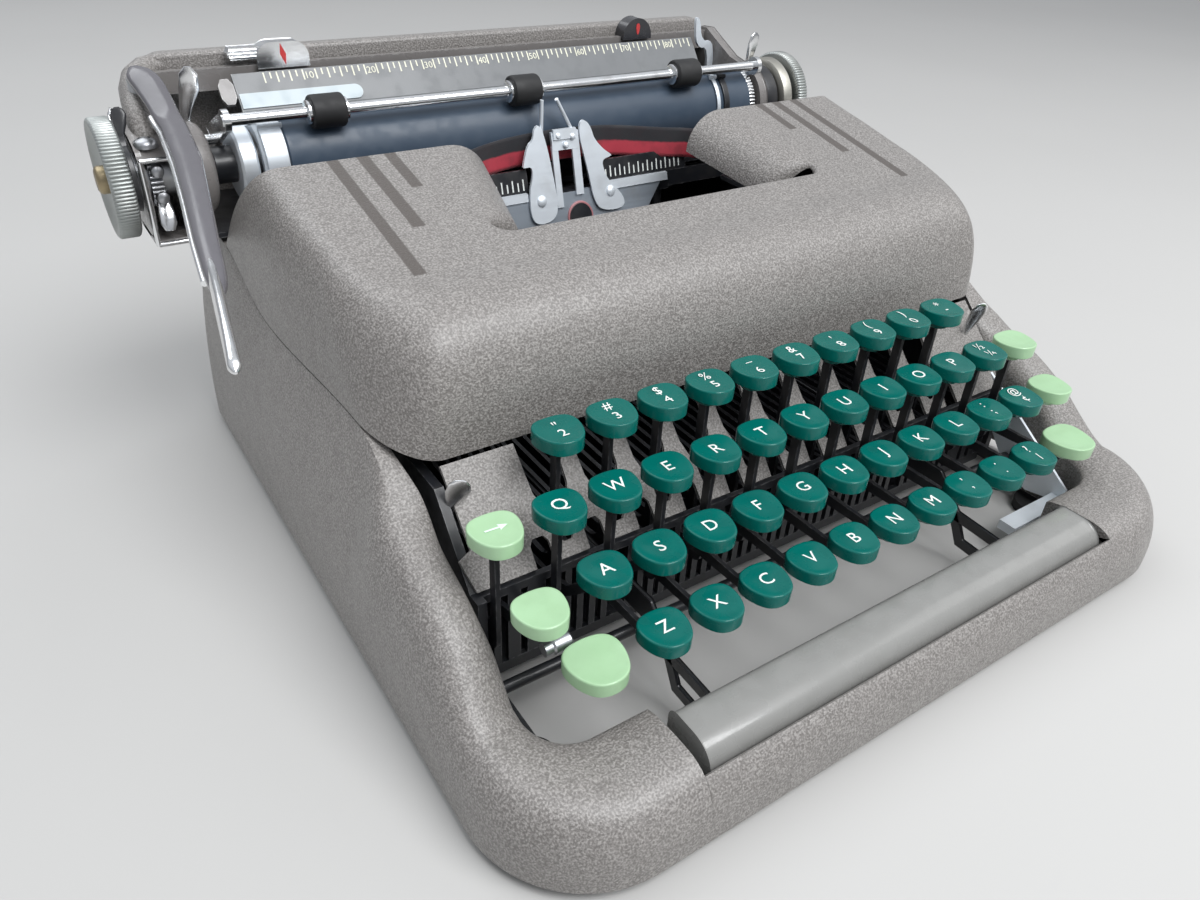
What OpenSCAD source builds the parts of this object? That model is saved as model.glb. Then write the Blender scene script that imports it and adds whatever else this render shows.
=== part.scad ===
// Portable typewriter with a hinged ribbon cover, drawn as separate named pieces.
// X runs along the platen, Y from the keyboard to the rear, Z up. Lengths are in millimetres.

/* [Body] */
// Width of the outer shell at its lower edge
body_w = 298; // [290:1:306]
// Depth of the outer shell at its lower edge
body_d = 305; // [300:1:312]
// Sheet thickness of the shell and the ribbon cover
wall_t = 1.6; // [1.2:0.1:2]
// Height of the rubber feet
foot_h = 4; // [3:0.5:6]
// Radius of the rubber feet
foot_r = 9; // [7:0.5:10]
// Thickness of the two side plates of the frame
plate_t = 3; // [2:0.25:4]
// Thickness of the sloping key deck
deck_t = 1.5; // [1:0.1:2]

/* [Keys] */
// Distance between neighbouring keys in a row
key_pitch = 19.05; // [18.8:0.05:19.3]
// Distance between key rows along Y
row_step = 16.9; // [16.6:0.1:17.2]
// Height step between key rows
row_rise = 13; // [12.6:0.1:13.4]
// Radius of a character keytop
key_r = 7.9; // [7.2:0.1:8.1]
// Thickness of a keytop
key_h = 5.5; // [4.5:0.25:6]
// Radius of the smaller function keytops
fkey_r = 7.9; // [7.2:0.1:8.1]
// Radius of the two shift keytops
shift_r = 9.2; // [8:0.1:9.6]
// Thickness of a key lever
lever_t = 1.6; // [1.2:0.1:1.9]
// Radius of the rod that the key levers turn on
rod_r = 2.5; // [2:0.1:3]
// Half length of the space bar
bar_len = 91; // [88:0.5:92]
// Depth of the space bar
bar_d = 18; // [16:0.5:19]

/* [Carriage] */
// Radius of the platen rubber
platen_r = 16; // [15:0.25:16.5]
// Length of the platen rubber
platen_len = 214; // [206:1:216]
// Radius of the platen shaft
shaft_r = 3; // [2.5:0.1:4]
// Radius of the platen knobs
knob_r = 20.5; // [18:0.5:21.5]
// Thickness of the left platen knob
knob_t = 9; // [7:0.5:10]
// Thickness of the right platen knob
knob_tr = 6; // [5:0.5:8]
// Radius of the paper bail rod
bail_r = 2.2; // [1.8:0.1:2.6]
// Radius of the bail rollers
roller_r = 6; // [5:0.25:7]
// Thickness of the carriage end plates
end_t = 3; // [2:0.25:4]

/* [Ribbon] */
// Radius of a ribbon spool
spool_r = 20.5; // [18:0.5:21.5]
// Height of the inked ribbon
ribbon_h = 13; // [12:0.25:13.5]
// Thickness of the inked ribbon
ribbon_t = 0.6; // [0.4:0.1:0.8]

/* [Hidden] */
$fn = 48;

// Running clearance of a shaft in its hole, and of flat sliding faces
run = 0.05;
slide = 0.3;
hw = body_w / 2;
hd = body_d / 2;
base_z = 4;
front_r = 38;
rear_r = 22;

// Key rows are counted from the front: 0 is the lowest row and 3 the number row
row_y0 = -112.5;
row_z0 = 46.5;
row_x0 = -89;
row_shift = [0.25, -0.25, -0.5, 0];
row_count = [10, 11, 11, 10];
function key_x(row, col) = row_x0 + (row_shift[row] + col) * key_pitch;
function key_y(row) = row_y0 + row * row_step;
function key_z(row) = row_z0 + row * row_rise;

// Fulcrum of all key levers, and the level at which the levers run
ful_y = 50;
ful_z = 58;
boss_r = rod_r + 4;
lev_lo = 24;
lev_hi = 32;

// Function keys: keytop x, row, lever x
bs_x = key_x(2, 0) - 20.5;
lock_x = key_x(1, 0) - 23.3;
shl_x = key_x(0, 0) - 23;
tab_x = key_x(2, 10) + 18.5;
mar_x = key_x(1, 10) + 18.5;
shr_x = key_x(0, 9) + 22;
bs_lev = bs_x;
lock_lev = lock_x + 3;
shl_lev = shl_x;
tab_lev = tab_x + 1.5;
mar_lev = mar_x + 3;
shr_lev = shr_x - 2.5;
arm_l = key_x(3, 0) + key_pitch * 7 / 8;
arm_r = key_x(3, 9) - key_pitch * 7 / 8;

// Side plates of the frame, inner face, just outside the outermost levers
plate_x = max(-bs_lev, mar_lev) + 2;
hinge_y = -40;
hinge_z = 80;

// Platen axis and the paper bail that rests on it
pl_y = 104.5;
pl_z = 121;
bail_ang = 124;
bail_y = pl_y + (platen_r + roller_r + slide) * cos(bail_ang);
bail_z = pl_z + (platen_r + roller_r + slide) * sin(bail_ang);
piv_y = 121;
piv_z = 126;
car_l = -platen_len / 2 - 43;
car_r = platen_len / 2 + 15;
car_z = 95.5;
car_t = 2;
rail_top = 92;
ring_l = platen_len / 2 + 26;
ring_r = platen_len / 2 + 4;
arm_bail_l = -ring_l - 3;
arm_bail_r = ring_r + 3;
core_r = platen_r - 4;

// Ribbon spools
sp_x = 95;
sp_y = 38;
sp_z = 103;
sp_h = ribbon_h + 3;
rib_y = 79;
rib_z = sp_z + 1.5;
wound_r = spool_r - 5.5;

module lift() {
    translate([0, 0, foot_h - base_z]) children();
}

// Draws a profile given in Y and Z and thickens it along X, centred on x
module plate_yz(x, t) {
    translate([x - t / 2, 0, 0])
        rotate([90, 0, 90])
            linear_extrude(height = t) children();
}

// Cylinder along X
module rod_x(x0, x1, y, z, r) {
    translate([x0, y, z])
        rotate([0, 90, 0]) cylinder(h = x1 - x0, r = r);
}

// Block from one corner to the other
module block(a, b) {
    translate(a) cube(b - a);
}

function mix(a, b, t) = a + (b - a) * t;
function clamp01(t) = min(1, max(0, t));
function ramp(t) = clamp01(t) * clamp01(t) * (3 - 2 * clamp01(t));

// Triangles of a double skin: m stations, n rings, outer skin first, then the inner one
function skin_faces(m, n, loop) =
    let (w = loop ? m : m - 1, k = m * n)
    concat(
        [for (i = [0:w - 1], j = [0:n - 2], s = [0, 1])
            let (a = i * n + j, b = ((i + 1) % m) * n + j)
            s == 0 ? [a, b + 1, b] : [a, a + 1, b + 1]],
        [for (i = [0:w - 1], j = [0:n - 2], s = [0, 1])
            let (a = k + i * n + j, b = k + ((i + 1) % m) * n + j)
            s == 0 ? [a, b, b + 1] : [a, b + 1, a + 1]],
        [for (i = [0:w - 1], e = [0, 1], s = [0, 1])
            let (a = i * n + e * (n - 1), b = ((i + 1) % m) * n + e * (n - 1))
            e == 0 ? (s == 0 ? [a, b, k + b] : [a, k + b, k + a])
                   : (s == 0 ? [a, k + b, b] : [a, k + a, k + b])],
        loop ? [] : [for (j = [0:n - 2], e = [0, 1], s = [0, 1])
            let (a = e * (m - 1) * n + j, b = a + 1)
            e == 0 ? (s == 0 ? [a, k + b, b] : [a, k + a, k + b])
                   : (s == 0 ? [a, b, k + b] : [a, k + b, k + a])]);

// Height of the shell's top edge along its side, from front to rear
edge_tab = [[-200, 28], [-122, 28.4], [-117, 29.4], [-112, 31.8], [-106, 35.6], [-100, 40.2],
    [-95, 44], [-90, 47.8], [-84, 51.6], [-76, 55.2], [-64, 59.5], [-57, 62], [-52, 64.4], [-48, 67],
    [-44, 70], [-40, 73], [-36, 75.4], [-30, 78], [-26, 79], [58, 79], [66, 80.6], [76, 84.6],
    [88, 90.4], [96, 92.6], [102, 93], [300, 93]];
function edge_z(y) = lookup(y, edge_tab);
// Distance of the seam between shell and cover from the shell's widest line
function seam_in(y) = 10 + 3.5 * ramp((50 - y) / 75);

// One shell station: point, inward direction, then ridge inset, ridge height, rim inset, rim height,
// flange length, and how far the section is an arm beside the keys
rim_side = 22;
rim_front = 32;
rim_low = 25;
rim_r = 14;
rim_shift = rim_front + rim_r - front_r;
function unit(v) = v / norm(v);
function side_station(s, y) =
    let (arm = ramp((-30 - y) / 24), low = ramp((-46 - y) / 16), p = [s * hw, y],
        rear = rim_shift * ramp((-hd + front_r + 27.5 - y) / 27.5),
        v = [-s * mix(seam_in(y) + 5, rim_side, arm), rear])
    [p, unit(v), mix(seam_in(y), 12, arm), edge_z(y), norm(v),
        max(rim_low, edge_z(y) - mix(0.6, 9, low)), mix(2.2, 12, arm), arm];
function front_station(x) = [[x, -hd], [0, 1], 15, 28, rim_front, rim_low, 11, 1];
function rear_station(x) = [[x, hd], [0, -1], 8, 93, 13, 92.4, 2.2, 0];
function front_corner(s, a) =
    let (c = [s * (hw - front_r), -hd + front_r], d = [s * cos(a), -sin(a)], t = ramp(a / 90),
        rim_c = [s * (hw - rim_side - rim_r), -hd + rim_front + rim_r], v = rim_c + rim_r * d - c - front_r * d)
    [c + front_r * d, unit(v), mix(12, 15, t), mix(edge_z(-hd + front_r), 28, t), norm(v),
        rim_low, mix(12, 11, t), 1];
function rear_corner(s, a) =
    let (c = [s * (hw - rear_r), hd - rear_r], d = [s * cos(a), sin(a)], t = a / 90)
    [c + rear_r * d, -d, mix(seam_in(200), 8, t), 93, mix(seam_in(200) + 5, 13, t), 92.4, 2.2, 0];

side_ys = concat([for (t = [0, 0.25, 0.5, 0.75]) mix(hd - rear_r, 98, t)],
    [98, 90, 82, 74, 66, 58, 36, 10, -10, -20, -26, -30, -33, -36, -39, -42, -45, -48, -51, -55,
        -60, -66, -73, -80, -87, -93, -99, -105, -110], [-hd + front_r]);
shell_stations = concat(
    [for (x = [0:-1:-3]) rear_station(x * (hw - rear_r) / 4)],
    [for (a = [90:-18:18]) rear_corner(-1, a)],
    [for (y = side_ys) side_station(-1, y)],
    [for (a = [12:13:77]) front_corner(-1, a)],
    [for (x = [-6:6]) front_station(x * (hw - front_r) / 6)],
    [for (a = [77:-13:12]) front_corner(1, a)],
    [for (i = [len(side_ys) - 1:-1:0]) side_station(1, side_ys[i])],
    [for (a = [18:18:90]) rear_corner(1, a)],
    [for (x = [3:-1:1]) rear_station(x * (hw - rear_r) / 4)]);

// Section of the shell: inset and height of ring j
shell_n = 13;
function shell_uz(s, j) =
    let (dr = s[2], zr = s[3], di = s[4], zi = s[5], fl = s[6], arm = s[7])
    j <= 7 ? let (t = 90 * j / 7, q = j / 7, e = 2 / 2.6)
            [mix(dr * q * q, dr * (1 - pow(cos(t), e)), arm),
                base_z + (zr - base_z) * mix(q, pow(sin(t), e), arm)]
        : j <= 10 ? let (t = 90 * (j - 7) / 3)
            [dr + (di - dr) * sin(t), zr - (zr - zi) * (1 - cos(t))]
        : [di, zi - fl * (j - 10) / 2];
function shell_pt(s, q) = [s[0][0] + s[1][0] * q[0], s[0][1] + s[1][1] * q[0], q[1]];
function shell_in(s, j) =
    let (a = shell_uz(s, max(0, j - 1)), b = shell_uz(s, min(shell_n - 1, j + 1)),
        d = (b - a) / norm(b - a), q = shell_uz(s, j))
    j == 0 ? [q[0] + wall_t, q[1]] : q + wall_t * [d[1], -d[0]];

foot_x = hw - 26;
foot_yf = -hd + 48;
foot_yr = hd - 30;
notch_x = bar_len + 3.5;
bar_y0 = -hd + 8;

module body_shell() {
    color([0.56, 0.53, 0.49]) lift() {
        difference() {
            polyhedron(
                points = concat(
                    [for (s = shell_stations, j = [0:shell_n - 1]) shell_pt(s, shell_uz(s, j))],
                    [for (s = shell_stations, j = [0:shell_n - 1]) shell_pt(s, shell_in(s, j))]),
                faces = skin_faces(len(shell_stations), shell_n, true));
            block([-notch_x, -hd + 6, 10], [notch_x, -hd + 40, 60]);
        }
        // Corner blocks that carry the frame above and the feet below
        for (s = [-1, 1], y = [foot_yf, foot_yr])
            translate([s > 0 ? foot_x - 12 : -hw + wall_t / 2, y - 12, base_z])
                cube([hw - wall_t / 2 - foot_x + 12, 24, 6]);
    }
}

module rubber_feet() {
    color([0.07, 0.07, 0.07])
        for (s = [-1, 1], y = [foot_yf, foot_yr])
            translate([s * foot_x, y, 0]) cylinder(h = foot_h, r = foot_r);
}

// Ribbon cover: seam outline, crown outline and opening outline are joined station by station
cov_rear = 57.5;
cov_front = -46.5;
cov_low = 97;
face_low = 74.5;
lobe_y = -20;
lobe_r = 18;
lobe_x = hw - seam_in(lobe_y);
crown_x = hw - 26;
crown_y = 8;
crown_r = 22;
open_x = 75;
open_xr = 64;
open_r = 8;
hem_r = 2.2;
lip_r = 16;
cov_n = 18;
function top_z(y) = 120 + 0.21 * y;
// One cover station: seam point, crown point, opening point, direction into the opening, roll radius of the
// opening's edge, and how far the section is a front face
function leg_station(s, a) =
    let (y = mix(lobe_y, cov_low, a))
    [[s * (hw - seam_in(y)), y, edge_z(y) + 0.8], [s * crown_x, mix(crown_y, cov_rear, a)],
        [s * mix(open_x, open_xr, a), mix(open_r, cov_rear, a)], [-s, 0], mix(hem_r, lip_r, ramp(3 * a)), 0];
function lobe_station(s, b) =
    let (t = ramp(b / 90), d = [s * cos(b), -sin(b)])
    [[s * (lobe_x - lobe_r + lobe_r * cos(b)), lobe_y + (cov_front - lobe_y) * sin(b),
        mix(edge_z(lobe_y) + 0.8, face_low, t)], [s * (crown_x - crown_r), crown_y] + crown_r * d,
        [s * (open_x - open_r), open_r] + open_r * d, -d, hem_r, t];
function face_station(t) =
    [[(lobe_x - lobe_r) * t, cov_front, face_low], [(crown_x - crown_r) * t, crown_y - crown_r],
        [(open_x - open_r) * t, 0], [0, 1], hem_r, 1];
cov_stations = concat(
    [for (a = [7:-1:0]) leg_station(-1, a / 7)],
    [for (b = [15:15:90]) lobe_station(-1, b)],
    [for (t = [-3:3]) face_station(t / 4)],
    [for (b = [90:-15:15]) lobe_station(1, b)],
    [for (a = [0:7]) leg_station(1, a / 7)]);
cov_m = len(cov_stations);
// Rings 0 to 8 are the shoulder, 9 to 11 the top, and the rest the rolled edge of the opening
function cov_roll(j) = 15 * max(0, j - 11);
function cov_up(i, j) = let (d = cov_stations[i][3], r = cov_roll(j)) [d[0] * sin(r), d[1] * sin(r), cos(r)];
function cov_pt(i, j) =
    let (s = cov_stations[i], e = 2 / 3, t = 90 * min(j, 8) / 8, h = 1 - pow(cos(t), e), g = pow(sin(t), e),
        q = clamp01((j - 8) / 3), x = mix(s[1][0], s[2][0], q), y = mix(s[1][1], s[2][1], q), r = cov_roll(j))
    j <= 8 ? [mix(s[0][0], s[1][0], h), mix(s[0][1], s[1][1], mix(g, h, s[5])), mix(s[0][2], top_z(s[1][1]), g)]
        : [x + s[4] * sin(r) * s[3][0], y + s[4] * sin(r) * s[3][1], top_z(y) - s[4] * (1 - cos(r))];
function cov_in(i, j) =
    let (a = cov_pt(min(cov_m - 1, i + 1), j) - cov_pt(max(0, i - 1), j),
        b = cov_pt(i, min(cov_n - 1, j + 1)) - cov_pt(i, max(0, j - 1)), c = cross(a, b))
    cov_pt(i, j) - wall_t * (j > 8 ? cov_up(i, j) : unit(c));

hinge_x = 104;
pin_r = 2;
ear_t = 3;

module ribbon_cover() {
    color([0.56, 0.53, 0.49]) lift() {
        polyhedron(
            points = concat(
                [for (i = [0:cov_m - 1], j = [0:cov_n - 1]) cov_pt(i, j)],
                [for (i = [0:cov_m - 1], j = [0:cov_n - 1]) cov_in(i, j)]),
            faces = skin_faces(cov_m, cov_n, false));
        // Ears with the two hinge pins
        for (s = [-1, 1]) {
            plate_yz(s * (hinge_x + ear_t + 2), ear_t)
                translate([cov_front + 0.6, hinge_z - 4]) square([hinge_y - cov_front + 2.6, 8]);
            rod_x(s > 0 ? hinge_x - 3 : -hinge_x - ear_t - 2, s > 0 ? hinge_x + ear_t + 2 : -hinge_x + 3,
                hinge_y, hinge_z, pin_r);
        }
    }
}

// Sloping deck behind the key rows: lower and upper end of its underside
deck_a = [-71, 43];
deck_b = [-50, 68];
deck_dir = (deck_b - deck_a) / norm(deck_b - deck_a);
deck_up = [-deck_dir[1], deck_dir[0]];

module key_deck() {
    color([0.56, 0.53, 0.49]) lift()
        difference() {
            plate_yz(0, 2 * (plate_x + plate_t))
                polygon([deck_a, deck_b, deck_b + deck_t * deck_up, deck_a + deck_t * deck_up]);
            // Slots that the levers of the number row pass through
            for (i = [0:row_count[3] - 1])
                translate([key_x(3, i), 0, 0])
                    linear_extrude(height = 100)
                        polygon([[-2.2, key_y(3) - 6.5], [2.2, key_y(3) - 6.5], [5, key_y(3) + 6], [-5, key_y(3) + 6]]);
        }
}

lever_xs = concat([for (r = [0:3], c = [0:row_count[r] - 1]) key_x(r, c)],
    [bs_lev, lock_lev, shl_lev, tab_lev, mar_lev, shr_lev, arm_l, arm_r]);
rail_x = plate_x + 11;
rail_w = 4;
rail_f = 102;
rail_b = 132;
post_x = 54;
post_y = 84;
post_r = 2.5;
frame_yr = rail_b + 2.5;
drum_x = -90;
drum_z = 62;
spindle_r = 3;
sp_post_r = 3;

module base_frame() {
    color([0.06, 0.07, 0.09]) lift() {
        difference() {
            union() {
                for (s = [-1, 1])
                    plate_yz(s * (plate_x + plate_t / 2), plate_t)
                        polygon([[foot_yf - 8, 10], [frame_yr, 10], [frame_yr, 92], [74, 92], [62, 102],
                            [-8, 102], [-16, 92], [-26, 68], deck_b, deck_a, [-76, deck_a[1]], [-76, 14],
                            [foot_yf - 8, 14]]);
                // Pan, rear plate, cross bars and the two carriage rails
                block([-plate_x - 0.5, -20, 10], [plate_x + 0.5, frame_yr, 12]);
                block([-plate_x - 0.5, frame_yr - 2, 10], [plate_x + 0.5, frame_yr, 92]);
                block([-plate_x - 0.5, -26, 62], [plate_x + 0.5, -22, 68]);
                block([-plate_x - 0.5, post_y - 4, 54], [plate_x + 0.5, post_y + 4, 58]);
                block([-rail_x, rail_f, 84], [rail_x, rail_f + rail_w, rail_top]);
                block([-rail_x, rail_b, 84], [rail_x, rail_b + rail_w, rail_top]);
                // Hinge brackets of the ribbon cover
                for (s = [-1, 1])
                    plate_yz(s * (hinge_x - ear_t / 2 + 1), ear_t) {
                        translate([hinge_y, hinge_z]) circle(r = 4);
                        polygon([[hinge_y, hinge_z - 4], [-22, 64], [-22, 72], [hinge_y, hinge_z + 4]]);
                    }
                // Spool plates and posts
                for (s = [-1, 1]) {
                    block([s > 0 ? sp_x - 23 : -plate_x - 0.5, 12, sp_z - 3],
                        [s > 0 ? plate_x + 0.5 : -sp_x + 23, 60, sp_z - 1]);
                    translate([s * sp_x, sp_y, sp_z - 2]) cylinder(h = sp_h + 4, r = sp_post_r);
                    translate([s * sp_x, sp_y, sp_z - 2]) cylinder(h = 2 - slide, r = 7);
                    translate([s * post_x, post_y, 57]) cylinder(h = 38, r = post_r);
                }
                // Bridge that carries the type guide
                block([-post_x - 4, post_y - 4, 92], [post_x + 4, post_y + 2, 96]);
                // Spindle of the mainspring drum
                translate([drum_x, 114, drum_z]) rotate([-90, 0, 0]) cylinder(h = frame_yr - 115, r = spindle_r);
                // Comb that guides the key levers
                difference() {
                    block([-plate_x - 0.5, -73.5, 12], [plate_x + 0.5, -71.5, deck_a[1]]);
                    for (x = lever_xs)
                        block([x - lever_t / 2 - 0.4, -75, 11], [x + lever_t / 2 + 0.4, -70, 40]);
                }
            }
            rod_x(-plate_x - plate_t - 1, plate_x + plate_t + 1, ful_y, ful_z, rod_r + 0.01);
            rod_x(-hinge_x - 4, hinge_x + 4, hinge_y, hinge_z, pin_r + run);
        }
    }
}

module fulcrum_rod() {
    color([0.62, 0.63, 0.65]) lift()
        rod_x(-plate_x - plate_t, plate_x + plate_t, ful_y, ful_z, rod_r);
}

// Keytop with a flattened rear, a rounded narrower front and a shallow dish. Its top face is at z = 0
module keytop(r) {
    difference() {
        translate([0, 0, -key_h])
            intersection() {
                translate([0, -0.03 * r, 0]) cylinder(h = key_h, r = 1.04 * r);
                translate([-0.93 * r, 0.25 * r, 0]) cylinder(h = key_h, r = 1.9 * r);
                translate([0.93 * r, 0.25 * r, 0]) cylinder(h = key_h, r = 1.9 * r);
                translate([0, -1.15 * r, 0]) cylinder(h = key_h, r = 2.04 * r);
            }
        translate([0, 0, 4.6 * r]) sphere(r = 4.72 * r);
    }
    translate([0, 0, -key_h - 2.6]) cylinder(h = 3, r = 0.68 * r);
}

// Key with its lever: keytop at x, y, z and lever plane at lx
module lever_key(x, y, z, lx, r) {
    translate([x, y, z]) keytop(r);
    st = z - key_h - 2;
    difference() {
        union() {
            plate_yz(lx, lever_t)
                polygon([[y - 3, st], [y + 3, st], [y + 3, lev_hi + 6], [y + 8, lev_hi], [8, lev_hi],
                    [ful_y - 3, ful_z + boss_r - 1.5], [ful_y + 3, ful_z - boss_r + 1.5], [13, lev_lo],
                    [y - 3, lev_lo]]);
            rod_x(lx - lever_t / 2, lx + lever_t / 2, ful_y, ful_z, boss_r);
            if (abs(lx - x) > 0.5)
                block([min(lx, x) - lever_t / 2, y - 3, st - 2.5], [max(lx, x) + lever_t / 2, y + 3, st + 0.5]);
        }
        rod_x(lx - 2, lx + 2, ful_y, ful_z, rod_r + run);
    }
}

module letter(row, col) {
    color([0.03, 0.35, 0.29]) lift()
        lever_key(key_x(row, col), key_y(row), key_z(row), key_x(row, col), key_r);
}

module function_key(x, row, lx, r, dy = 0) {
    color([0.72, 0.84, 0.66]) lift() lever_key(x, key_y(row) + dy, key_z(row), lx, r);
}

module letter_q() {
    letter(2, 0);
}

module letter_w() {
    letter(2, 1);
}

module letter_e() {
    letter(2, 2);
}

module letter_r() {
    letter(2, 3);
}

module letter_t() {
    letter(2, 4);
}

module letter_y() {
    letter(2, 5);
}

module letter_u() {
    letter(2, 6);
}

module letter_i() {
    letter(2, 7);
}

module letter_o() {
    letter(2, 8);
}

module letter_p() {
    letter(2, 9);
}

module letter_a() {
    letter(1, 0);
}

module letter_s() {
    letter(1, 1);
}

module letter_d() {
    letter(1, 2);
}

module letter_f() {
    letter(1, 3);
}

module letter_g() {
    letter(1, 4);
}

module letter_h() {
    letter(1, 5);
}

module letter_j() {
    letter(1, 6);
}

module letter_k() {
    letter(1, 7);
}

module letter_l() {
    letter(1, 8);
}

module letter_z() {
    letter(0, 0);
}

module letter_x() {
    letter(0, 1);
}

module letter_c() {
    letter(0, 2);
}

module letter_v() {
    letter(0, 3);
}

module letter_b() {
    letter(0, 4);
}

module letter_n() {
    letter(0, 5);
}

module letter_m() {
    letter(0, 6);
}

module number_keys() {
    for (i = [0:row_count[3] - 1]) letter(3, i);
}

// Punctuation at the right end of the three lower rows
module mark_keys() {
    letter(2, 10);
    for (i = [9, 10]) letter(1, i);
    for (i = [7, 8, 9]) letter(0, i);
}

module backspace_key() {
    function_key(bs_x, 2, bs_lev, fkey_r);
}

module lock_key() {
    function_key(lock_x, 1, lock_lev, fkey_r, -4);
}

module tab_key() {
    function_key(tab_x, 2, tab_lev, fkey_r);
}

module margin_key() {
    function_key(mar_x, 1, mar_lev, fkey_r);
}

// Both shift keys share one frame: the bar behind the fulcrum joins their levers
module shift_keys() {
    function_key(shl_x, 0, shl_lev, shift_r);
    function_key(shr_x, 0, shr_lev, shift_r);
    color([0.72, 0.84, 0.66]) lift() {
        for (x = [shl_lev, shr_lev])
            plate_yz(x, lever_t)
                translate([ful_y + rod_r + 2, ful_z - 3]) square([17, 6]);
        rod_x(shl_lev, shr_lev, ful_y + 19, ful_z, 2);
    }
}

bar_top = 29.5;
bar_low = 17;
module space_bar() {
    color([0.6, 0.59, 0.56]) lift() {
        plate_yz(0, 2 * bar_len)
            polygon(concat([[bar_y0, bar_low], [bar_y0, bar_top - 8]],
                [for (a = [15:15:75]) [bar_y0 + 8 - 8 * cos(a), bar_top - 8 + 8 * sin(a)]],
                [[bar_y0 + 8, bar_top], [bar_y0 + bar_d - 3, bar_top]],
                [for (a = [60, 30]) [bar_y0 + bar_d - 3 + 3 * cos(a), bar_top - 3 + 3 * sin(a)]],
                [[bar_y0 + bar_d, bar_top - 3], [bar_y0 + bar_d, bar_low]]));
        for (x = [arm_l, arm_r])
            difference() {
                union() {
                    plate_yz(x, lever_t)
                        polygon([[bar_y0 + 4, bar_low + 3], [bar_y0 + bar_d - 4, bar_low + 3], [bar_y0 + bar_d + 2, 19],
                            [row_y0 + 9, 20], [row_y0 + 21, lev_hi], [8, lev_hi],
                            [ful_y - 3, ful_z + boss_r - 1.5], [ful_y + 3, ful_z - boss_r + 1.5], [13, lev_lo],
                            [row_y0 + 24, lev_lo], [row_y0 + 11, 13], [bar_y0 + bar_d + 2, 12],
                            [bar_y0 + 4, 12]]);
                    rod_x(x - lever_t / 2, x + lever_t / 2, ful_y, ful_z, boss_r);
                }
                rod_x(x - 2, x + 2, ful_y, ful_z, rod_r + run);
            }
    }
}

// Type basket: slotted half ring, and one bar for each character lever
seg_y = 78;
seg_in = 34;
seg_out = 46;
seg_z = 74;
seg_h = 12;
slot_z = seg_z + 4.5;
bar_count = 42;
bar_fan = 62;
type_t = 1;
function fan(i) = -bar_fan + 2 * bar_fan * i / (bar_count - 1);

module type_segment() {
    color([0.62, 0.63, 0.65]) lift()
        difference() {
            union() {
                intersection() {
                    translate([0, seg_y, seg_z]) cylinder(h = seg_h, r = seg_out);
                    block([-seg_out - 1, seg_y - seg_out - 1, seg_z], [seg_out + 1, seg_y, seg_z + seg_h]);
                }
                for (s = [-1, 1])
                    block([s > 0 ? seg_in + 2 : -post_x - 6, seg_y - 6, seg_z], [s > 0 ? post_x + 6 : -seg_in - 2, post_y + 6, seg_z + 6]);
            }
            translate([0, seg_y, seg_z - 1]) cylinder(h = seg_h + 2, r = seg_in);
            for (i = [0:bar_count - 1])
                translate([0, seg_y, slot_z])
                    rotate([0, 0, fan(i)])
                        translate([-type_t / 2 - 0.12, -seg_out - 2, 0]) cube([type_t + 0.24, seg_out - seg_in + 5, seg_h]);
            for (s = [-1, 1])
                translate([s * post_x, post_y, seg_z - 1]) cylinder(h = seg_h, r = post_r + run);
        }
}

module type_bars() {
    color([0.55, 0.56, 0.58]) lift()
        for (i = [0:bar_count - 1])
            translate([0, seg_y, slot_z])
                rotate([0, 0, fan(i)]) {
                    translate([-type_t / 2, -88, 0]) cube([type_t, 88 - seg_in - 2, 5]);
                    translate([-1.3, -92, 0.5]) cube([2.6, 5, 8]);
                }
}

module type_guide() {
    color([0.66, 0.68, 0.7]) lift() {
        block([-24, post_y - 4, 96], [24, post_y + 1, 100]);
        // Base plate towards the cover's opening
        translate([0, 0, 100])
            linear_extrude(height = 1.6)
                polygon([[-24, post_y + 1], [24, post_y + 1], [24, 62], [18, 36], [-18, 36], [-24, 62]]);
        // Card holder wings, centre guide and the two thin line wires
        for (s = [-1, 1]) {
            translate([0, post_y + 1, 0])
                rotate([90, 0, 0])
                    linear_extrude(height = 1.6)
                        polygon([[s * 7, 100], [s * 20, 100], [s * 20, 106], [s * 15, 110], [s * 13, 116], [s * 20, 119],
                            [s * 19, 121], [s * 13, 123], [s * 9, 121], [s * 7, 114]]);
            block([s > 0 ? 2 : -5, post_y - 2, 100], [s > 0 ? 5 : -2, post_y + 1, 119]);
        }
        translate([-6.5, post_y, 112]) rotate([-3, 2, 0]) cylinder(h = 20, r = 0.8);
        translate([7.5, post_y, 112]) rotate([-3, -18, 0]) cylinder(h = 20.5, r = 0.8);
    }
}

// Ribbon between the spools, as a band with a few bends
rib_a = [-sp_x - 2.7, sp_y + wound_r + 0.6];
rib_b = [-64, rib_y];
rib_n = [-(rib_b - rib_a)[1], (rib_b - rib_a)[0]] / norm(rib_b - rib_a);
module ribbon() {
    color([0.05, 0.05, 0.05]) lift()
        translate([0, 0, rib_z])
            linear_extrude(height = ribbon_h)
                polygon([rib_a, rib_b, [-rib_b[0], rib_y], [-rib_a[0], rib_a[1]],
                    [-rib_a[0] - ribbon_t * rib_n[0], rib_a[1] + ribbon_t * rib_n[1]], [-rib_b[0], rib_y + ribbon_t],
                    [rib_b[0], rib_y + ribbon_t], rib_a + ribbon_t * rib_n]);
}

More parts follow.
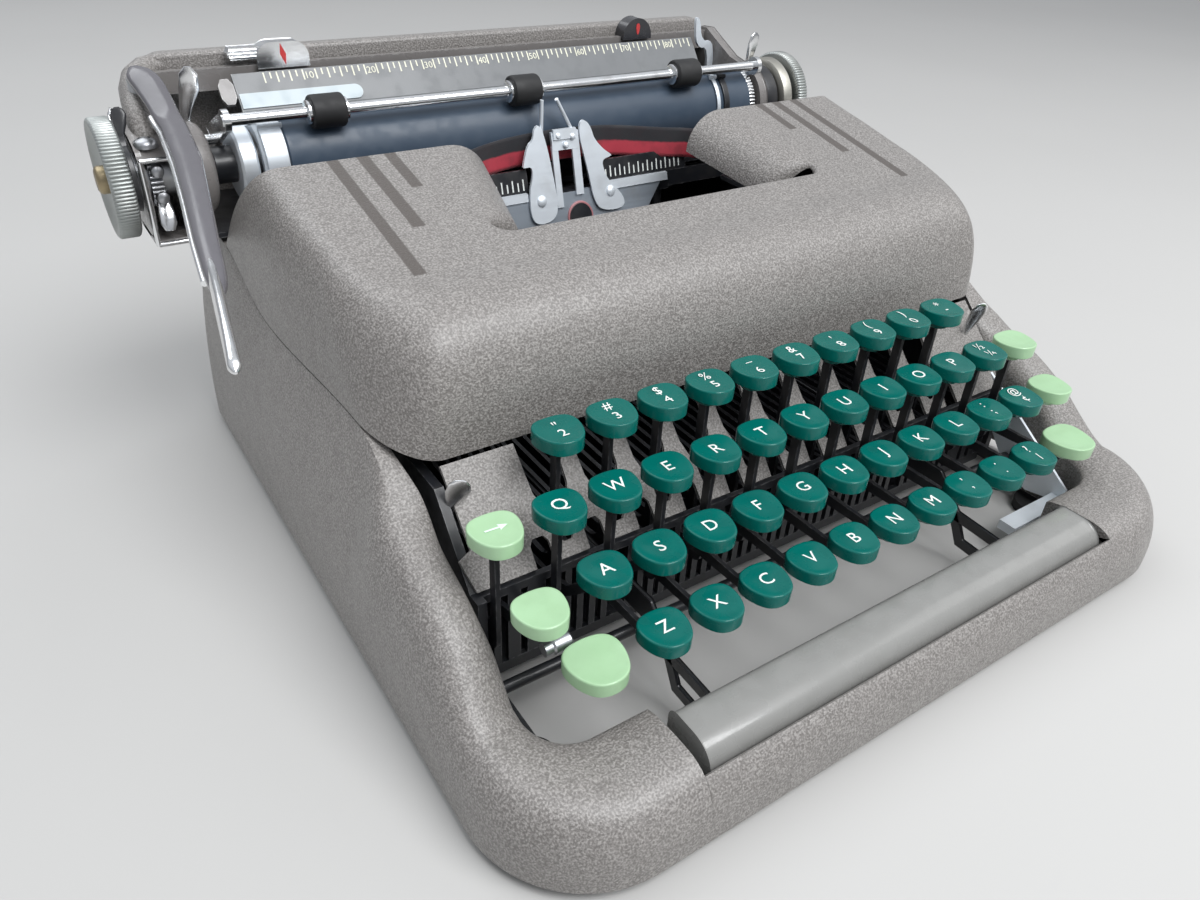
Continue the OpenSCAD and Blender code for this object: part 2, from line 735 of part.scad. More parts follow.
module spool(x) {
    color([0.2, 0.2, 0.21]) lift()
        translate([x, sp_y, sp_z])
            difference() {
                union() {
                    cylinder(h = 1, r = spool_r);
                    cylinder(h = sp_h, r = wound_r);
                    translate([0, 0, sp_h - 1]) cylinder(h = 1, r = spool_r);
                }
                translate([0, 0, -1]) cylinder(h = sp_h + 2, r = sp_post_r + run);
                for (a = [0:120:240])
                    rotate([0, 0, a]) translate([8.5, 0, sp_h - 4]) cylinder(h = 5, r = 2.5);
            }
}

module spool_left() {
    spool(-sp_x);
}

module spool_right() {
    spool(sp_x);
}

// Carriage: bed plate on shoes, two end plates, line space housing and margin rail
house_x = car_l - 13;
collar_r = 8;
end_boss = 8;
mr_y = 135;
mr_z = 140;
bed_y = 100;
bed_yr = 149.5;
rel_y = 128.5;
rel_z = 118;
rel_r = 2;
bpin_r = 2;
lev_x = car_l - 4;
lev_y = 118;
lev_pin = 3;
house_top = 138;
lev_top = 145;
// Shoes of the carriage: at the end of its travel they stand just outside the side plates
car_travel = 100;
shoe_w = 4;
shoe_x = plate_x + plate_t + slide + shoe_w - car_travel;

module end_plate(x) {
    plate_yz(x, end_t)
        union() {
            polygon([[bed_y, car_z], [bed_yr, car_z], [bed_yr, 137], [147.5, 143.5], [143, 148.5], [134, 149], [127, 145],
                [114, 138], [pl_y, pl_z + 16], [pl_y, car_z + 6]]);
            translate([pl_y, pl_z]) circle(r = platen_r);
        }
}

module carriage_frame() {
    color([0.5, 0.46, 0.42]) lift()
        difference() {
            union() {
                block([car_l, bed_y, car_z], [car_r, bed_yr, car_z + car_t]);
                end_plate(car_l + end_t / 2);
                end_plate(car_r - end_t / 2);
                rod_x(car_r - end_t, car_r + end_boss, pl_y, pl_z, platen_r);
                block([car_l + 1, mr_y, mr_z], [car_r - 1, mr_y + 3, mr_z + 8]);
                // Shoes that straddle the two rails
                for (x = [-shoe_x, shoe_x], y = [rail_f, rail_b]) {
                    block([x - shoe_w, y - 3, rail_top + slide], [x + shoe_w, y + rail_w + 3, car_z + 0.5]);
                    block([x - shoe_w, y - 3, 87], [x + shoe_w, y - slide, car_z + 0.5]);
                    block([x - shoe_w, y + rail_w + slide, 87], [x + shoe_w, y + rail_w + 3, car_z + 0.5]);
                }
                // Line space housing with an open front and outer side
                difference() {
                    block([house_x, 92, 104], [car_l + 0.5, 126, house_top]);
                    block([house_x + 2, 80, 107], [car_l - 2, 123, house_top - 3]);
                    block([house_x - 1, 96, 108], [house_x + 3, 122, 113]);
                }
                rod_x(house_x - 3.5, car_l, pl_y, pl_z, collar_r);
                // Pivot of the return lever, and pivots of the paper bail
                translate([lev_x, lev_y, house_top - 1]) cylinder(h = lev_top - house_top + 1, r = 5.5);
                translate([lev_x, lev_y, lev_top - 1]) cylinder(h = 10, r = lev_pin);
                rod_x(car_l + 1, arm_bail_l + 2, piv_y, piv_z, bpin_r);
                rod_x(arm_bail_r - 2, car_r - 1, piv_y, piv_z, bpin_r);
            }
            rod_x(house_x - 5, car_r + end_boss + 1, pl_y, pl_z, shaft_r + run);
            rod_x(car_l - 1, car_r + 1, rel_y, rel_z, rel_r + run);
        }
}

hood_top = 153.2;
hood_r = 9;
module carriage_hood() {
    x0 = car_l + end_t;
    x1 = car_r - end_t;
    color([0.56, 0.53, 0.49]) lift()
        intersection() {
            plate_yz((x0 + x1) / 2, x1 - x0)
                polygon([[147, car_z + car_t], [149, car_z + car_t], [149.4, hood_top - 15.2], [148.4, hood_top - 7.2],
                    [146, hood_top - 2.6], [143, hood_top], [140.8, hood_top - 0.6], [139.9, hood_top - 3.2],
                    [140.3, hood_top - 8.2], [142, hood_top - 8.2], [141.8, hood_top - 3.4], [143, hood_top - 2.2],
                    [145, hood_top - 4.2], [146.6, hood_top - 7.8], [147.4, hood_top - 15.2]]);
            translate([0, 160, 0])
                rotate([90, 0, 0])
                    linear_extrude(height = 40)
                        polygon(concat([[x0, 90], [x1, 90]],
                            [for (t = [0:15:90]) [x1 - hood_r + hood_r * cos(t), hood_top - hood_r + hood_r * sin(t)]],
                            [for (t = [90:15:180]) [x0 + hood_r + hood_r * cos(t), hood_top - hood_r + hood_r * sin(t)]]));
        }
}

module paper_table() {
    color([0.6, 0.6, 0.58]) lift()
        plate_yz(-7.5, platen_len + 9)
            polygon([[124, car_z + car_t], [124, 127.8], [120.6, 134.6], [129.9, 146.5], [131.1, 145.5], [122.5, 134.5],
                [125.5, 128.2], [125.5, car_z + car_t]]);
}

module margin_stop(x0, x1, tab) {
    lift()
        difference() {
            union() {
                block([x0, mr_y - 1.9, mr_z - 1.5], [x1, mr_y + 4.8, mr_z + 16]);
                block([x0 - tab, mr_y - 0.5, mr_z + 9], [x0 + 1, mr_y + 4, mr_z + 12]);
            }
            block([x0 - tab - 1, mr_y - slide, mr_z - 3], [x1 + 1, mr_y + 3 + slide, mr_z + 8 + slide]);
        }
}

module margin_stop_left() {
    color([0.75, 0.76, 0.77]) margin_stop(-106, -86, 12);
}

module margin_stop_right() {
    color([0.2, 0.2, 0.22]) margin_stop(64, 80, 0.5);
}

module platen_roller() {
    color([0.05, 0.05, 0.06]) lift()
        difference() {
            rod_x(-platen_len / 2, platen_len / 2, pl_y, pl_z, platen_r);
            rod_x(-platen_len, platen_len, pl_y, pl_z, core_r);
        }
}

knob_l = house_x - 3.8;
knob_r0 = car_r + 17.6;
module platen_core() {
    color([0.7, 0.7, 0.69]) lift() {
        rod_x(-platen_len / 2, platen_len / 2, pl_y, pl_z, core_r);
        rod_x(-ring_l + 14, -platen_len / 2 - slide, pl_y, pl_z, platen_r - 1);
        rod_x(-ring_l, -platen_len / 2, pl_y, pl_z, platen_r - 2.8);
        rod_x(platen_len / 2, ring_r, pl_y, pl_z, platen_r - 2);
        rod_x(knob_l - knob_t + 1, knob_r0 + 1, pl_y, pl_z, shaft_r);
        rod_x(knob_l - knob_t, knob_l, pl_y, pl_z, knob_r);
        rod_x(knob_l - knob_t - 2, knob_l, pl_y, pl_z, 5);
        rod_x(knob_r0, knob_r0 + knob_tr, pl_y, pl_z, knob_r);
        rod_x(car_r + end_boss + slide, knob_r0 + knob_tr + 2, pl_y, pl_z, 5);
    }
}

// Return lever: a tilted blade from its pivot past the left end of the cover
lev_tilt = 6.5;
lev_z = 142;
bend_y = 92;
lev_hub = 7;
lev_joint = -108;
lev_root = 20;
module lever_plane() {
    translate([lev_x + 1, bend_y, lev_z]) rotate([lev_tilt, 0, 0]) children();
}

module return_lever() {
    color([0.53, 0.48, 0.46]) lift() {
        difference() {
            union() {
                lever_plane()
                    translate([0, 0, -2])
                        linear_extrude(height = 4.5)
                            polygon([[-4.5, 1], [3.5, 1], [-9.2, lev_joint], [-15.8, lev_joint]]);
                translate([lev_x + 1, bend_y, lev_z])
                    rotate([lev_root, 0, 0])
                        translate([0, 0, -2])
                            linear_extrude(height = 4.5) polygon([[-4.5, -1], [3.5, -1], [4, 28], [-6, 28]]);
                translate([lev_x, lev_y, lev_top + slide]) cylinder(h = 7.5, r = lev_hub);
            }
            translate([lev_x, lev_y, lev_top - 5]) cylinder(h = 20, r = lev_pin + run);
            translate([lev_x, lev_y, lev_top - 9]) cylinder(h = 9 + slide, r = lev_hub + 1);
        }
    }
}

// Finger piece: a thin upright spoon that leans outwards from the end of the blade
tip_t = 3;
tip_len = 43;
tip_turn = -18;
module lever_tip() {
    color([0.78, 0.79, 0.8]) lift()
        lever_plane()
            intersection() {
                translate([-12.5, lev_joint, 0])
                    rotate([0, 0, tip_turn])
                        plate_yz(0, tip_t)
                            polygon([[6, -2], [6, 2.5], [0, 2.5], [-8, 3.8], [-18, 5], [-32, 5.4], [4 - tip_len, 3.6],
                                [1 - tip_len, 1.4], [-tip_len, -1], [2 - tip_len, -4], [6 - tip_len, -5], [-26, -5],
                                [-14, -4.2], [-6, -2.8], [0, -2]]);
                block([-60, lev_joint - 80, -20], [20, lev_joint, 20]);
            }
}

module paper_bail() {
    color([0.78, 0.79, 0.8]) lift()
        difference() {
            union() {
                rod_x(arm_bail_l - 1, arm_bail_r + 1, bail_y, bail_z, bail_r);
                for (x = [arm_bail_l, arm_bail_r]) {
                    rod_x(x - 1, x + 1, bail_y, bail_z, 4);
                    rod_x(x - 1, x + 1, piv_y, piv_z, 4.5);
                    plate_yz(x, 2)
                        polygon([[bail_y - 1, bail_z - 3], [piv_y - 1, piv_z - 4], [piv_y + 2, piv_z + 4], [bail_y + 1, bail_z + 3]]);
                }
            }
            for (x = [arm_bail_l, arm_bail_r]) rod_x(x - 3, x + 3, piv_y, piv_z, bpin_r + run);
        }
}

roller_x = [-96, -13, 71];
module bail_rollers() {
    color([0.05, 0.05, 0.05]) lift()
        for (x = roller_x)
            difference() {
                rod_x(x - 7, x + 7, bail_y, bail_z, roller_r);
                rod_x(x - 8, x + 8, bail_y, bail_z, bail_r + run);
            }
}

module line_selector() {
    color([0.12, 0.12, 0.13]) lift()
        difference() {
            plate_yz(house_x - 1.8, 2)
                union() {
                    translate([pl_y, pl_z]) circle(r = 12);
                    polygon([[pl_y - 4, pl_z + 10], [pl_y + 7, pl_z + 9], [pl_y + 8, pl_z + 22], [pl_y + 5, pl_z + 25],
                        [pl_y + 1, pl_z + 24]]);
                }
            rod_x(house_x - 5, house_x + 2, pl_y, pl_z, collar_r + run);
        }
}

module paper_release() {
    color([0.75, 0.76, 0.77]) lift() {
        rod_x(car_l + 0.5, car_r - 0.5, rel_y, rel_z, rel_r);
        plate_yz(arm_bail_l - 4, 2)
            polygon([[rel_y - 3, rel_z - 3], [rel_y + 3, rel_z - 3], [rel_y + 2, 138], [126, 150], [123, 152], [120, 149],
                [rel_y - 4, 136]]);
        plate_yz(arm_bail_r - 6, 2)
            polygon([[rel_y - 3, rel_z - 3], [rel_y + 3, rel_z - 3], [rel_y + 2, 138], [rel_y - 1, 141], [124, 144],
                [122, 154], [119, 154], [120, 141], [rel_y - 3, 137]]);
    }
}

module mainspring_drum() {
    color([0.5, 0.5, 0.5]) lift()
        translate([drum_x, 116, drum_z])
            rotate([-90, 0, 0])
                difference() {
                    union() {
                        cylinder(h = 14, r = 18);
                        cylinder(h = 1.5, r = 20);
                        translate([0, 0, 12.5]) cylinder(h = 1.5, r = 20);
                    }
                    translate([0, 0, -1]) cylinder(h = 16, r = spindle_r + run);
                    for (a = [0:90:270])
                        rotate([0, 0, a]) translate([11, 0, -1]) cylinder(h = 4, r = 2.5);
                }
}

body_shell();
base_frame();
key_deck();
fulcrum_rod();
rubber_feet();
ribbon_cover();
type_segment();
type_bars();
type_guide();
ribbon();
spool_left();
spool_right();
carriage_frame();
carriage_hood();
paper_table();
margin_stop_left();
margin_stop_right();
platen_roller();
platen_core();
return_lever();
lever_tip();
paper_bail();
bail_rollers();
line_selector();
paper_release();
mainspring_drum();
letter_q();
letter_w();
letter_e();
letter_r();
letter_t();
letter_y();
letter_u();
letter_i();
letter_o();
letter_p();
letter_a();
letter_s();
letter_d();
letter_f();
letter_g();
letter_h();
letter_j();
letter_k();
letter_l();
letter_z();
letter_x();
letter_c();
letter_v();
letter_b();
letter_n();
letter_m();
number_keys();
mark_keys();
backspace_key();
lock_key();
tab_key();
margin_key();
shift_keys();
space_bar();
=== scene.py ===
# %% [markdown]
# # A portable typewriter
# This lesson dresses a packed mechanical model of a small typewriter. The model is a fixed frame: every
# piece below is placed by it and rides on one of its bodies, so that keys, carriage and cover move with
# their looks. Lengths are in millimetres, because that is how such a machine is measured, and become metres
# in the mesh.

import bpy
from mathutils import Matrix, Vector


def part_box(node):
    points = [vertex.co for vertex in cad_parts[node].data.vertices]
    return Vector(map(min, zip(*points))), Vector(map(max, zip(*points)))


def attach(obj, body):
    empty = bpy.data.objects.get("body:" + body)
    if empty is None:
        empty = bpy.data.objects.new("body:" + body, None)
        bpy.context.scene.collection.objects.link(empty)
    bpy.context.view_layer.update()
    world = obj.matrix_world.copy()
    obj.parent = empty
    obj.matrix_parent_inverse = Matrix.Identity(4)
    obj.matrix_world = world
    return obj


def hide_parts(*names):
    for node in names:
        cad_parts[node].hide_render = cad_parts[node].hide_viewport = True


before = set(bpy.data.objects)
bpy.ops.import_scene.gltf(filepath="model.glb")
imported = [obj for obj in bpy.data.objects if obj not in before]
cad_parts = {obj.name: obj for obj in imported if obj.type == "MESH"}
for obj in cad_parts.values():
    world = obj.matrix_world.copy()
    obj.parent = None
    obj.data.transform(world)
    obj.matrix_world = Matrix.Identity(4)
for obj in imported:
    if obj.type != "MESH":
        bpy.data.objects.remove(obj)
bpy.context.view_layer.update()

import math

import bmesh
import bpy
import numpy as np
from mathutils import Matrix

scene = bpy.context.scene
MM = 0.001


def new_object(name, data):
    """An object at the origin, linked to the scene."""
    made = bpy.data.objects.new(name, data)
    scene.collection.objects.link(made)
    return made


def box_mm(node_name):
    """Lowest and highest corner of one of the frame's nodes, in millimetres."""
    return [np.array(corner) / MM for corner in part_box(node_name)]


# %% [markdown]
# ## Camera, floor and light
# The photograph was taken by hand, from the left and above, a little tilted. A camera has a place, a turn
# about the vertical, a tip from looking straight down, and a roll about its own axis. Three soft lamps and
# a grey sky, lighter above, give the plain light of a studio table. The floor is pale and has no pattern,
# so nothing competes with the object.

# %% Camera
view_px, photo_px, sensor_mm = 905.0, 1200, 36
cam_place = np.array([-206.9, -249.1, 228.6])
cam_turn, cam_tip, cam_roll = np.radians([-35.4, 55.7, 3.11])

camera_data = bpy.data.cameras.new("camera")
camera_data.sensor_width = sensor_mm
camera_data.lens = sensor_mm * view_px / photo_px
camera_data.clip_start = 0.01
camera = new_object("camera", camera_data)
camera.matrix_world = (Matrix.Translation(cam_place * MM) @ Matrix.Rotation(cam_turn, 4, "Z")
                       @ Matrix.Rotation(cam_tip, 4, "X") @ Matrix.Rotation(cam_roll, 4, "Z"))
scene.camera = camera
scene.view_settings.view_transform = "Standard"
print("lens:", round(camera_data.lens, 2), "mm")

# %% Lamps and world
def soft_lamp(name, place, size, power, colour):
    """A square area lamp at place, in metres, turned towards the middle of the object."""
    data = bpy.data.lights.new(name, "AREA")
    data.size, data.energy, data.color = size, power, colour
    lamp = new_object(name, data)
    lamp.location = place
    lamp.rotation_euler = (-lamp.location).to_track_quat("-Z", "Y").to_euler()


soft_lamp("lamp_main", (0.22, -0.84, 1.32), 0.95, 24.0, (0.98, 0.99, 1.0))
soft_lamp("lamp_window", (-0.4, 0.8, 1.25), 1.1, 7.0, (0.95, 0.98, 1.0))
soft_lamp("lamp_right", (1.2, -0.3, 0.8), 0.9, 2.2, (1.0, 0.99, 0.97))

world = bpy.data.worlds.new("studio")
scene.world = world
world.use_nodes = True
sky, sky_links = world.node_tree.nodes, world.node_tree.links
sky_light = sky["Background"]
sky_light.inputs["Color"].default_value = (0.92, 0.95, 1.0, 1)
sky_place = sky.new("ShaderNodeTexCoord")
sky_axes = sky.new("ShaderNodeSeparateXYZ")
sky_level = sky.new("ShaderNodeMapRange")
for label, value in {"From Min": -0.1, "From Max": 0.75, "To Min": 0.22, "To Max": 0.72}.items():
    sky_level.inputs[label].default_value = value
sky_links.new(sky_place.outputs["Generated"], sky_axes.inputs[0])
sky_links.new(sky_axes.outputs["Z"], sky_level.inputs["Value"])
sky_links.new(sky_level.outputs["Result"], sky_light.inputs["Strength"])

# %% [markdown]
# ## Meshes from arrays
# Every new piece is a surface worked out with numpy. A part is a pair: an array of points, and a list of
# faces. Small functions make the usual kinds: a grid with two parameters, a loft of closed sections, a
# turned shape, and a plate cut to an outline. A closed part knows which way is out by the sign of its
# volume.

# %% Grid, loft and plate
def grid_faces(rows, cols, loop_rows=False, loop_cols=False):
    """Quads of a rows by cols grid of points: (i, j), (i + 1, j), (i + 1, j + 1), (i, j + 1)."""
    i, j = np.meshgrid(np.arange(rows - (not loop_rows)), np.arange(cols - (not loop_cols)), indexing="ij")
    i, j, k, m = i.ravel(), j.ravel(), (i.ravel() + 1) % rows, (j.ravel() + 1) % cols
    return np.stack([i * cols + j, k * cols + j, k * cols + m, i * cols + m], 1).tolist()


def outwards(points, faces):
    """Turns the faces round if the volume, the sum of a . (b x c) / 6 over their triangles, is negative."""
    tris = np.array([(f[0], f[k], f[k + 1]) for f in faces for k in range(1, len(f) - 1)])
    a, b, c = (points[tris[:, k]] for k in range(3))
    volume = np.einsum("ij,ij->", a, np.cross(b, c)) / 6
    return points, (faces if volume > 0 else [f[::-1] for f in faces])


def loft(sections):
    """Closed skin through m closed sections of n points each, with a flat cap at both ends. The caps are
    wound against the sides, so a rounded edge stands out a little from its cap."""
    sections = np.asarray(sections, float)
    m, n = sections.shape[:2]
    faces = grid_faces(m, n, loop_cols=True)
    faces += [list(range(n))[::-1], list(range((m - 1) * n, m * n))]
    return outwards(sections.reshape(-1, 3), faces)


def plate(outline, low, high, plane):
    """Flat plate: the outline's two coordinates span the plane, and the third runs from low to high."""
    outline = np.asarray(outline, float)
    order = {"yz": (2, 0, 1), "xz": (0, 2, 1), "xy": (0, 1, 2)}[plane]
    return loft([np.column_stack([outline, np.full(len(outline), t)])[:, order] for t in (low, high)])


def block(low, high):
    """Box from one corner to the other."""
    x0, y0, z0 = low
    x1, y1, z1 = high
    return plate([(x0, y0), (x1, y0), (x1, y1), (x0, y1)], z0, z1, "xy")


def arc(cx, cy, r, a0, a1, steps=8):
    """Points of an arc about (cx, cy), angles in degrees."""
    a = np.radians(np.linspace(a0, a1, steps))
    return np.stack([cx + r * np.cos(a), cy + r * np.sin(a)], 1)


def soft(outline, rounds):
    """Corner cutting: each round keeps the points at 1/4 and 3/4 of every side."""
    points = np.asarray(outline, float)
    for _ in range(rounds):
        after = np.roll(points, -1, 0)
        points = np.stack([0.75 * points + 0.25 * after, 0.25 * points + 0.75 * after], 1).reshape(-1, 2)
    return points


# %% Turned parts, rods and blades
core_r = 0.05


def circle(steps):
    """Angles of equal steps round a circle."""
    return np.arange(steps) * 2 * np.pi / steps


def turned(profile, axis, centre, steps=48, wave=None):
    """Turns a profile of (place along the axis, radius) about a line, and closes both ends flat. centre holds
    the other two coordinates in cyclic order, such as (z, x) for y. wave(angle, k) is added to the radius of
    profile point k, counted from 1."""
    turn = circle(steps)
    profile = np.array([(profile[0][0], core_r), *profile, (profile[-1][0], core_r)], float)
    along, r = (np.repeat(profile[:, k:k + 1], steps, 1) for k in (0, 1))
    if wave is not None:
        r = r + wave(turn, np.arange(len(profile))[:, None])
    points, faces = loft(np.stack([along, centre[0] + r * np.cos(turn), centre[1] + r * np.sin(turn)], -1))
    return points[:, {"x": (0, 1, 2), "y": (2, 0, 1), "z": (1, 2, 0)}[axis]], faces


def pin(start, end, r, axis, centre, steps=24):
    """Plain round pin from start to end along an axis."""
    return turned([(start, r), (end, r)], axis, centre, steps)


def ribs(count, depth, first, last):
    """Wave for a turned part: depth (|cos(count a / 2)| - 1) on its profile points first to last."""
    def wave(turn, k):
        return np.where((k >= first) & (k <= last), depth * (np.abs(np.cos(count * turn / 2)) - 1), 0)
    return wave


def unit(rows):
    """The same vectors, each of length 1."""
    return rows / np.linalg.norm(rows, axis=1, keepdims=True)


def rod(path, r, steps=12):
    """Round rod along a path of points."""
    path = np.asarray(path, float)
    along = np.gradient(path, axis=0)
    side = unit(np.cross(along, (0.31, 0.2, 0.93)))
    up = unit(np.cross(side, along))
    turn = circle(steps)[:, None]
    return loft(path[:, None] + r * (side[:, None] * np.cos(turn) + up[:, None] * np.sin(turn)))


def blade(path, across, half_w, half_t, power=2.6, steps=28):
    """Loft of superellipses |u|^p + |v|^p = 1 along a path: half_w wide in direction across, half_t thick."""
    path, across = np.asarray(path, float), np.asarray(across, float)
    along = unit(np.gradient(path, axis=0))
    across = unit(across - along * (along @ across)[:, None])
    up = np.cross(across, along)
    turn = circle(steps)
    u, v = ((np.sign(f) * np.abs(f) ** (2 / power))[:, None] for f in (np.cos(turn), np.sin(turn)))
    half_w, half_t = (np.broadcast_to(h, len(path))[:, None, None] for h in (half_w, half_t))
    return loft(path[:, None] + half_w * across[:, None] * u + half_t * up[:, None] * v)


# %% Moving, joining and mixing
def moved(part, shift):
    """The same part, moved."""
    return part[0] + np.asarray(shift, float), part[1]


def on_slope(part, foot, up):
    """Carries a flat part (x, a, h) onto a slope: a runs up it from foot = (y, z) along up, and h off it."""
    x, a, h = part[0].T
    return np.stack([x, foot[0] + up[0] * a - up[1] * h, foot[1] + up[1] * a + up[0] * h], 1), part[1]


def join(parts):
    """Several parts as one, with their faces renumbered."""
    starts = np.cumsum([0] + [len(p) for p, _ in parts])
    faces = [[int(k + s) for k in f] for s, (_, fs) in zip(starts, parts) for f in fs]
    return np.concatenate([p for p, _ in parts]), faces


def ramp(t):
    """Smooth step from 0 to 1: 3 t^2 - 2 t^3 between the ends."""
    t = np.clip(t, 0, 1)
    return t * t * (3 - 2 * t)


def mix(a, b, t):
    """Value between a and b."""
    return a + (b - a) * t


# %% Pieces from parts
edge_angle = math.radians(35)


def add_piece(name, groups, body, bevel=0.0, replaces=(), sharp=edge_angle):
    """Makes one object from {material: part}, riding on a body. bevel is a rounding width in millimetres."""
    mesh = bpy.data.meshes.new(name)
    points, faces = join(list(groups.values()))
    mesh.from_pydata((points * MM).tolist(), [], faces)
    index = np.repeat(np.arange(len(groups)), [len(f) for _, f in groups.values()])
    mesh.polygons.foreach_set("material_index", index.astype(np.int32))
    mesh.polygons.foreach_set("use_smooth", np.ones(len(faces), bool))
    for material in groups:
        mesh.materials.append(material)
    mesh.set_sharp_from_angle(angle=sharp)
    mesh.update()
    piece = new_object(name, mesh)
    if bevel:
        round_edges(piece, bevel)
    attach(piece, body)
    if replaces:
        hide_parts(*replaces)
    print(name, len(points), "points on", body)
    return piece


def round_edges(piece, width):
    """Rounds every edge sharper than 35 degrees."""
    bevel = piece.modifiers.new("rounding", "BEVEL")
    bevel.width = width * MM
    bevel.segments = 2
    bevel.limit_method = "ANGLE"
    bevel.angle_limit = edge_angle
    bevel.harden_normals = True


def thicken(piece, wall):
    """Gives an open skin its sheet thickness, towards the inside."""
    solid = piece.modifiers.new("sheet", "SOLIDIFY")
    solid.thickness = wall * MM
    solid.offset = -1


# %% [markdown]
# ## Finishes
# Old office machines have few finishes, and each has its own small marks: crinkled enamel with a leathery
# grain, smooth enamel worn along its edges, brushed nickel, moulded plastic, rubber. Effects that several
# finishes share are node groups, built once. A group hands out masks and heights; the shader itself stays
# in each material, where its plain values are set on its own sockets.

# %% Nodes
def node(tree, kind, values=None, **settings):
    """A node with its settings. Each input named in values is set, or linked if the value is a socket."""
    made = tree.nodes.new(kind)
    for key, value in settings.items():
        setattr(made, key, value)
    for key, value in (values or {}).items():
        if isinstance(value, bpy.types.NodeSocket):
            tree.links.new(value, made.inputs[key])
        else:
            made.inputs[key].default_value = value
    return made


def math_node(tree, operation, a, b=0.5, c=0.5):
    """A Math node of up to three inputs."""
    return node(tree, "ShaderNodeMath", {0: a, 1: b, 2: c}, operation=operation).outputs[0]


def smooth_between(tree, value, low, high):
    """Map Range that goes smoothly from 0 at low to 1 at high."""
    return node(tree, "ShaderNodeMapRange", {"Value": value, "From Min": low, "From Max": high},
                interpolation_type="SMOOTHSTEP").outputs["Result"]


def object_place(tree):
    """Coordinates of the object, which here are those of the whole machine."""
    return node(tree, "ShaderNodeTexCoord").outputs["Object"]


def place_axes(tree):
    """The three coordinates by themselves."""
    return node(tree, "ShaderNodeSeparateXYZ", {0: object_place(tree)}).outputs


def noise(tree, scale, detail=3.0, stretch=None):
    """Noise with scale in waves per metre, or from a socket, and stretch as a scale for each axis."""
    place = object_place(tree)
    if stretch is not None:
        place = node(tree, "ShaderNodeMapping", {"Vector": place, "Scale": stretch}).outputs["Vector"]
    values = {"Vector": place, "Scale": scale, "Detail": detail}
    return node(tree, "ShaderNodeTexNoise", values).outputs["Fac"]


# %% Shared effects
def new_group(name, inputs, effect):
    """A shader group with float inputs {name: default}. effect(tree, inputs) gives {output: socket}."""
    tree = bpy.data.node_groups.new(name, "ShaderNodeTree")
    for label, value in inputs.items():
        socket = tree.interface.new_socket(label, in_out="INPUT", socket_type="NodeSocketFloat")
        socket.default_value = value
    made = effect(tree, tree.nodes.new("NodeGroupInput").outputs)
    for label in made:
        tree.interface.new_socket(label, in_out="OUTPUT", socket_type="NodeSocketFloat")
    node(tree, "NodeGroupOutput", made)
    return tree


def crinkle_masks(tree, given):
    """Grain of crinkle enamel, bumps about half a millimetre wide out of two noises, with masks for painted
    shade in the valleys and painted highlights on the peaks.
    """
    fine = noise(tree, given["Grain"], 3.0)
    slow = noise(tree, 520.0, 2.0)
    return {"Height": math_node(tree, "MULTIPLY_ADD", slow, 0.4, fine),
            "ValleyShade": smooth_between(tree, fine, 0.56, 0.36), "PeakHighlight": smooth_between(tree, fine, 0.52, 0.66)}


def blotch_masks(tree, given):
    """Slow changes of tone, a hand's breadth wide, with a finer cloud in them."""
    return {"Tone": smooth_between(tree, noise(tree, given["Size"], 4.0), 0.3, 0.7),
            "Smudge": smooth_between(tree, noise(tree, 160.0, 5.0), 0.42, 0.68)}


def wear_masks(tree, given):
    """Worn edges: where a rounded normal leaves the true one, broken up by noise."""
    rounded = node(tree, "ShaderNodeBevel", {"Radius": given["Width"]}, samples=4).outputs["Normal"]
    true = node(tree, "ShaderNodeNewGeometry").outputs["Normal"]
    dot = node(tree, "ShaderNodeVectorMath", {0: rounded, 1: true}, operation="DOT_PRODUCT").outputs["Value"]
    bend = smooth_between(tree, math_node(tree, "SUBTRACT", 1.0, dot), 0.02, 0.2)
    patch = smooth_between(tree, noise(tree, 420.0, 4.0), 0.42, 0.6)
    return {"Edge": math_node(tree, "MULTIPLY", math_node(tree, "MULTIPLY", bend, patch), given["Amount"])}


def brush_masks(tree, given):
    """Fine brushing or scratches along X, with a few deeper ones."""
    return {"Line": noise(tree, given["Lines"], 3.0, stretch=(0.04, 1.0, 1.0)),
            "Stain": smooth_between(tree, noise(tree, 90.0, 5.0), 0.5, 0.72)}


crinkle = new_group("crinkle", {"Grain": 1500.0}, crinkle_masks)
blotch = new_group("blotch", {"Size": 22.0}, blotch_masks)
edge_wear = new_group("edge_wear", {"Width": 0.0006, "Amount": 0.5}, wear_masks)
brushed = new_group("brushed", {"Lines": 900.0}, brush_masks)
print("effects:", [g.name for g in bpy.data.node_groups])

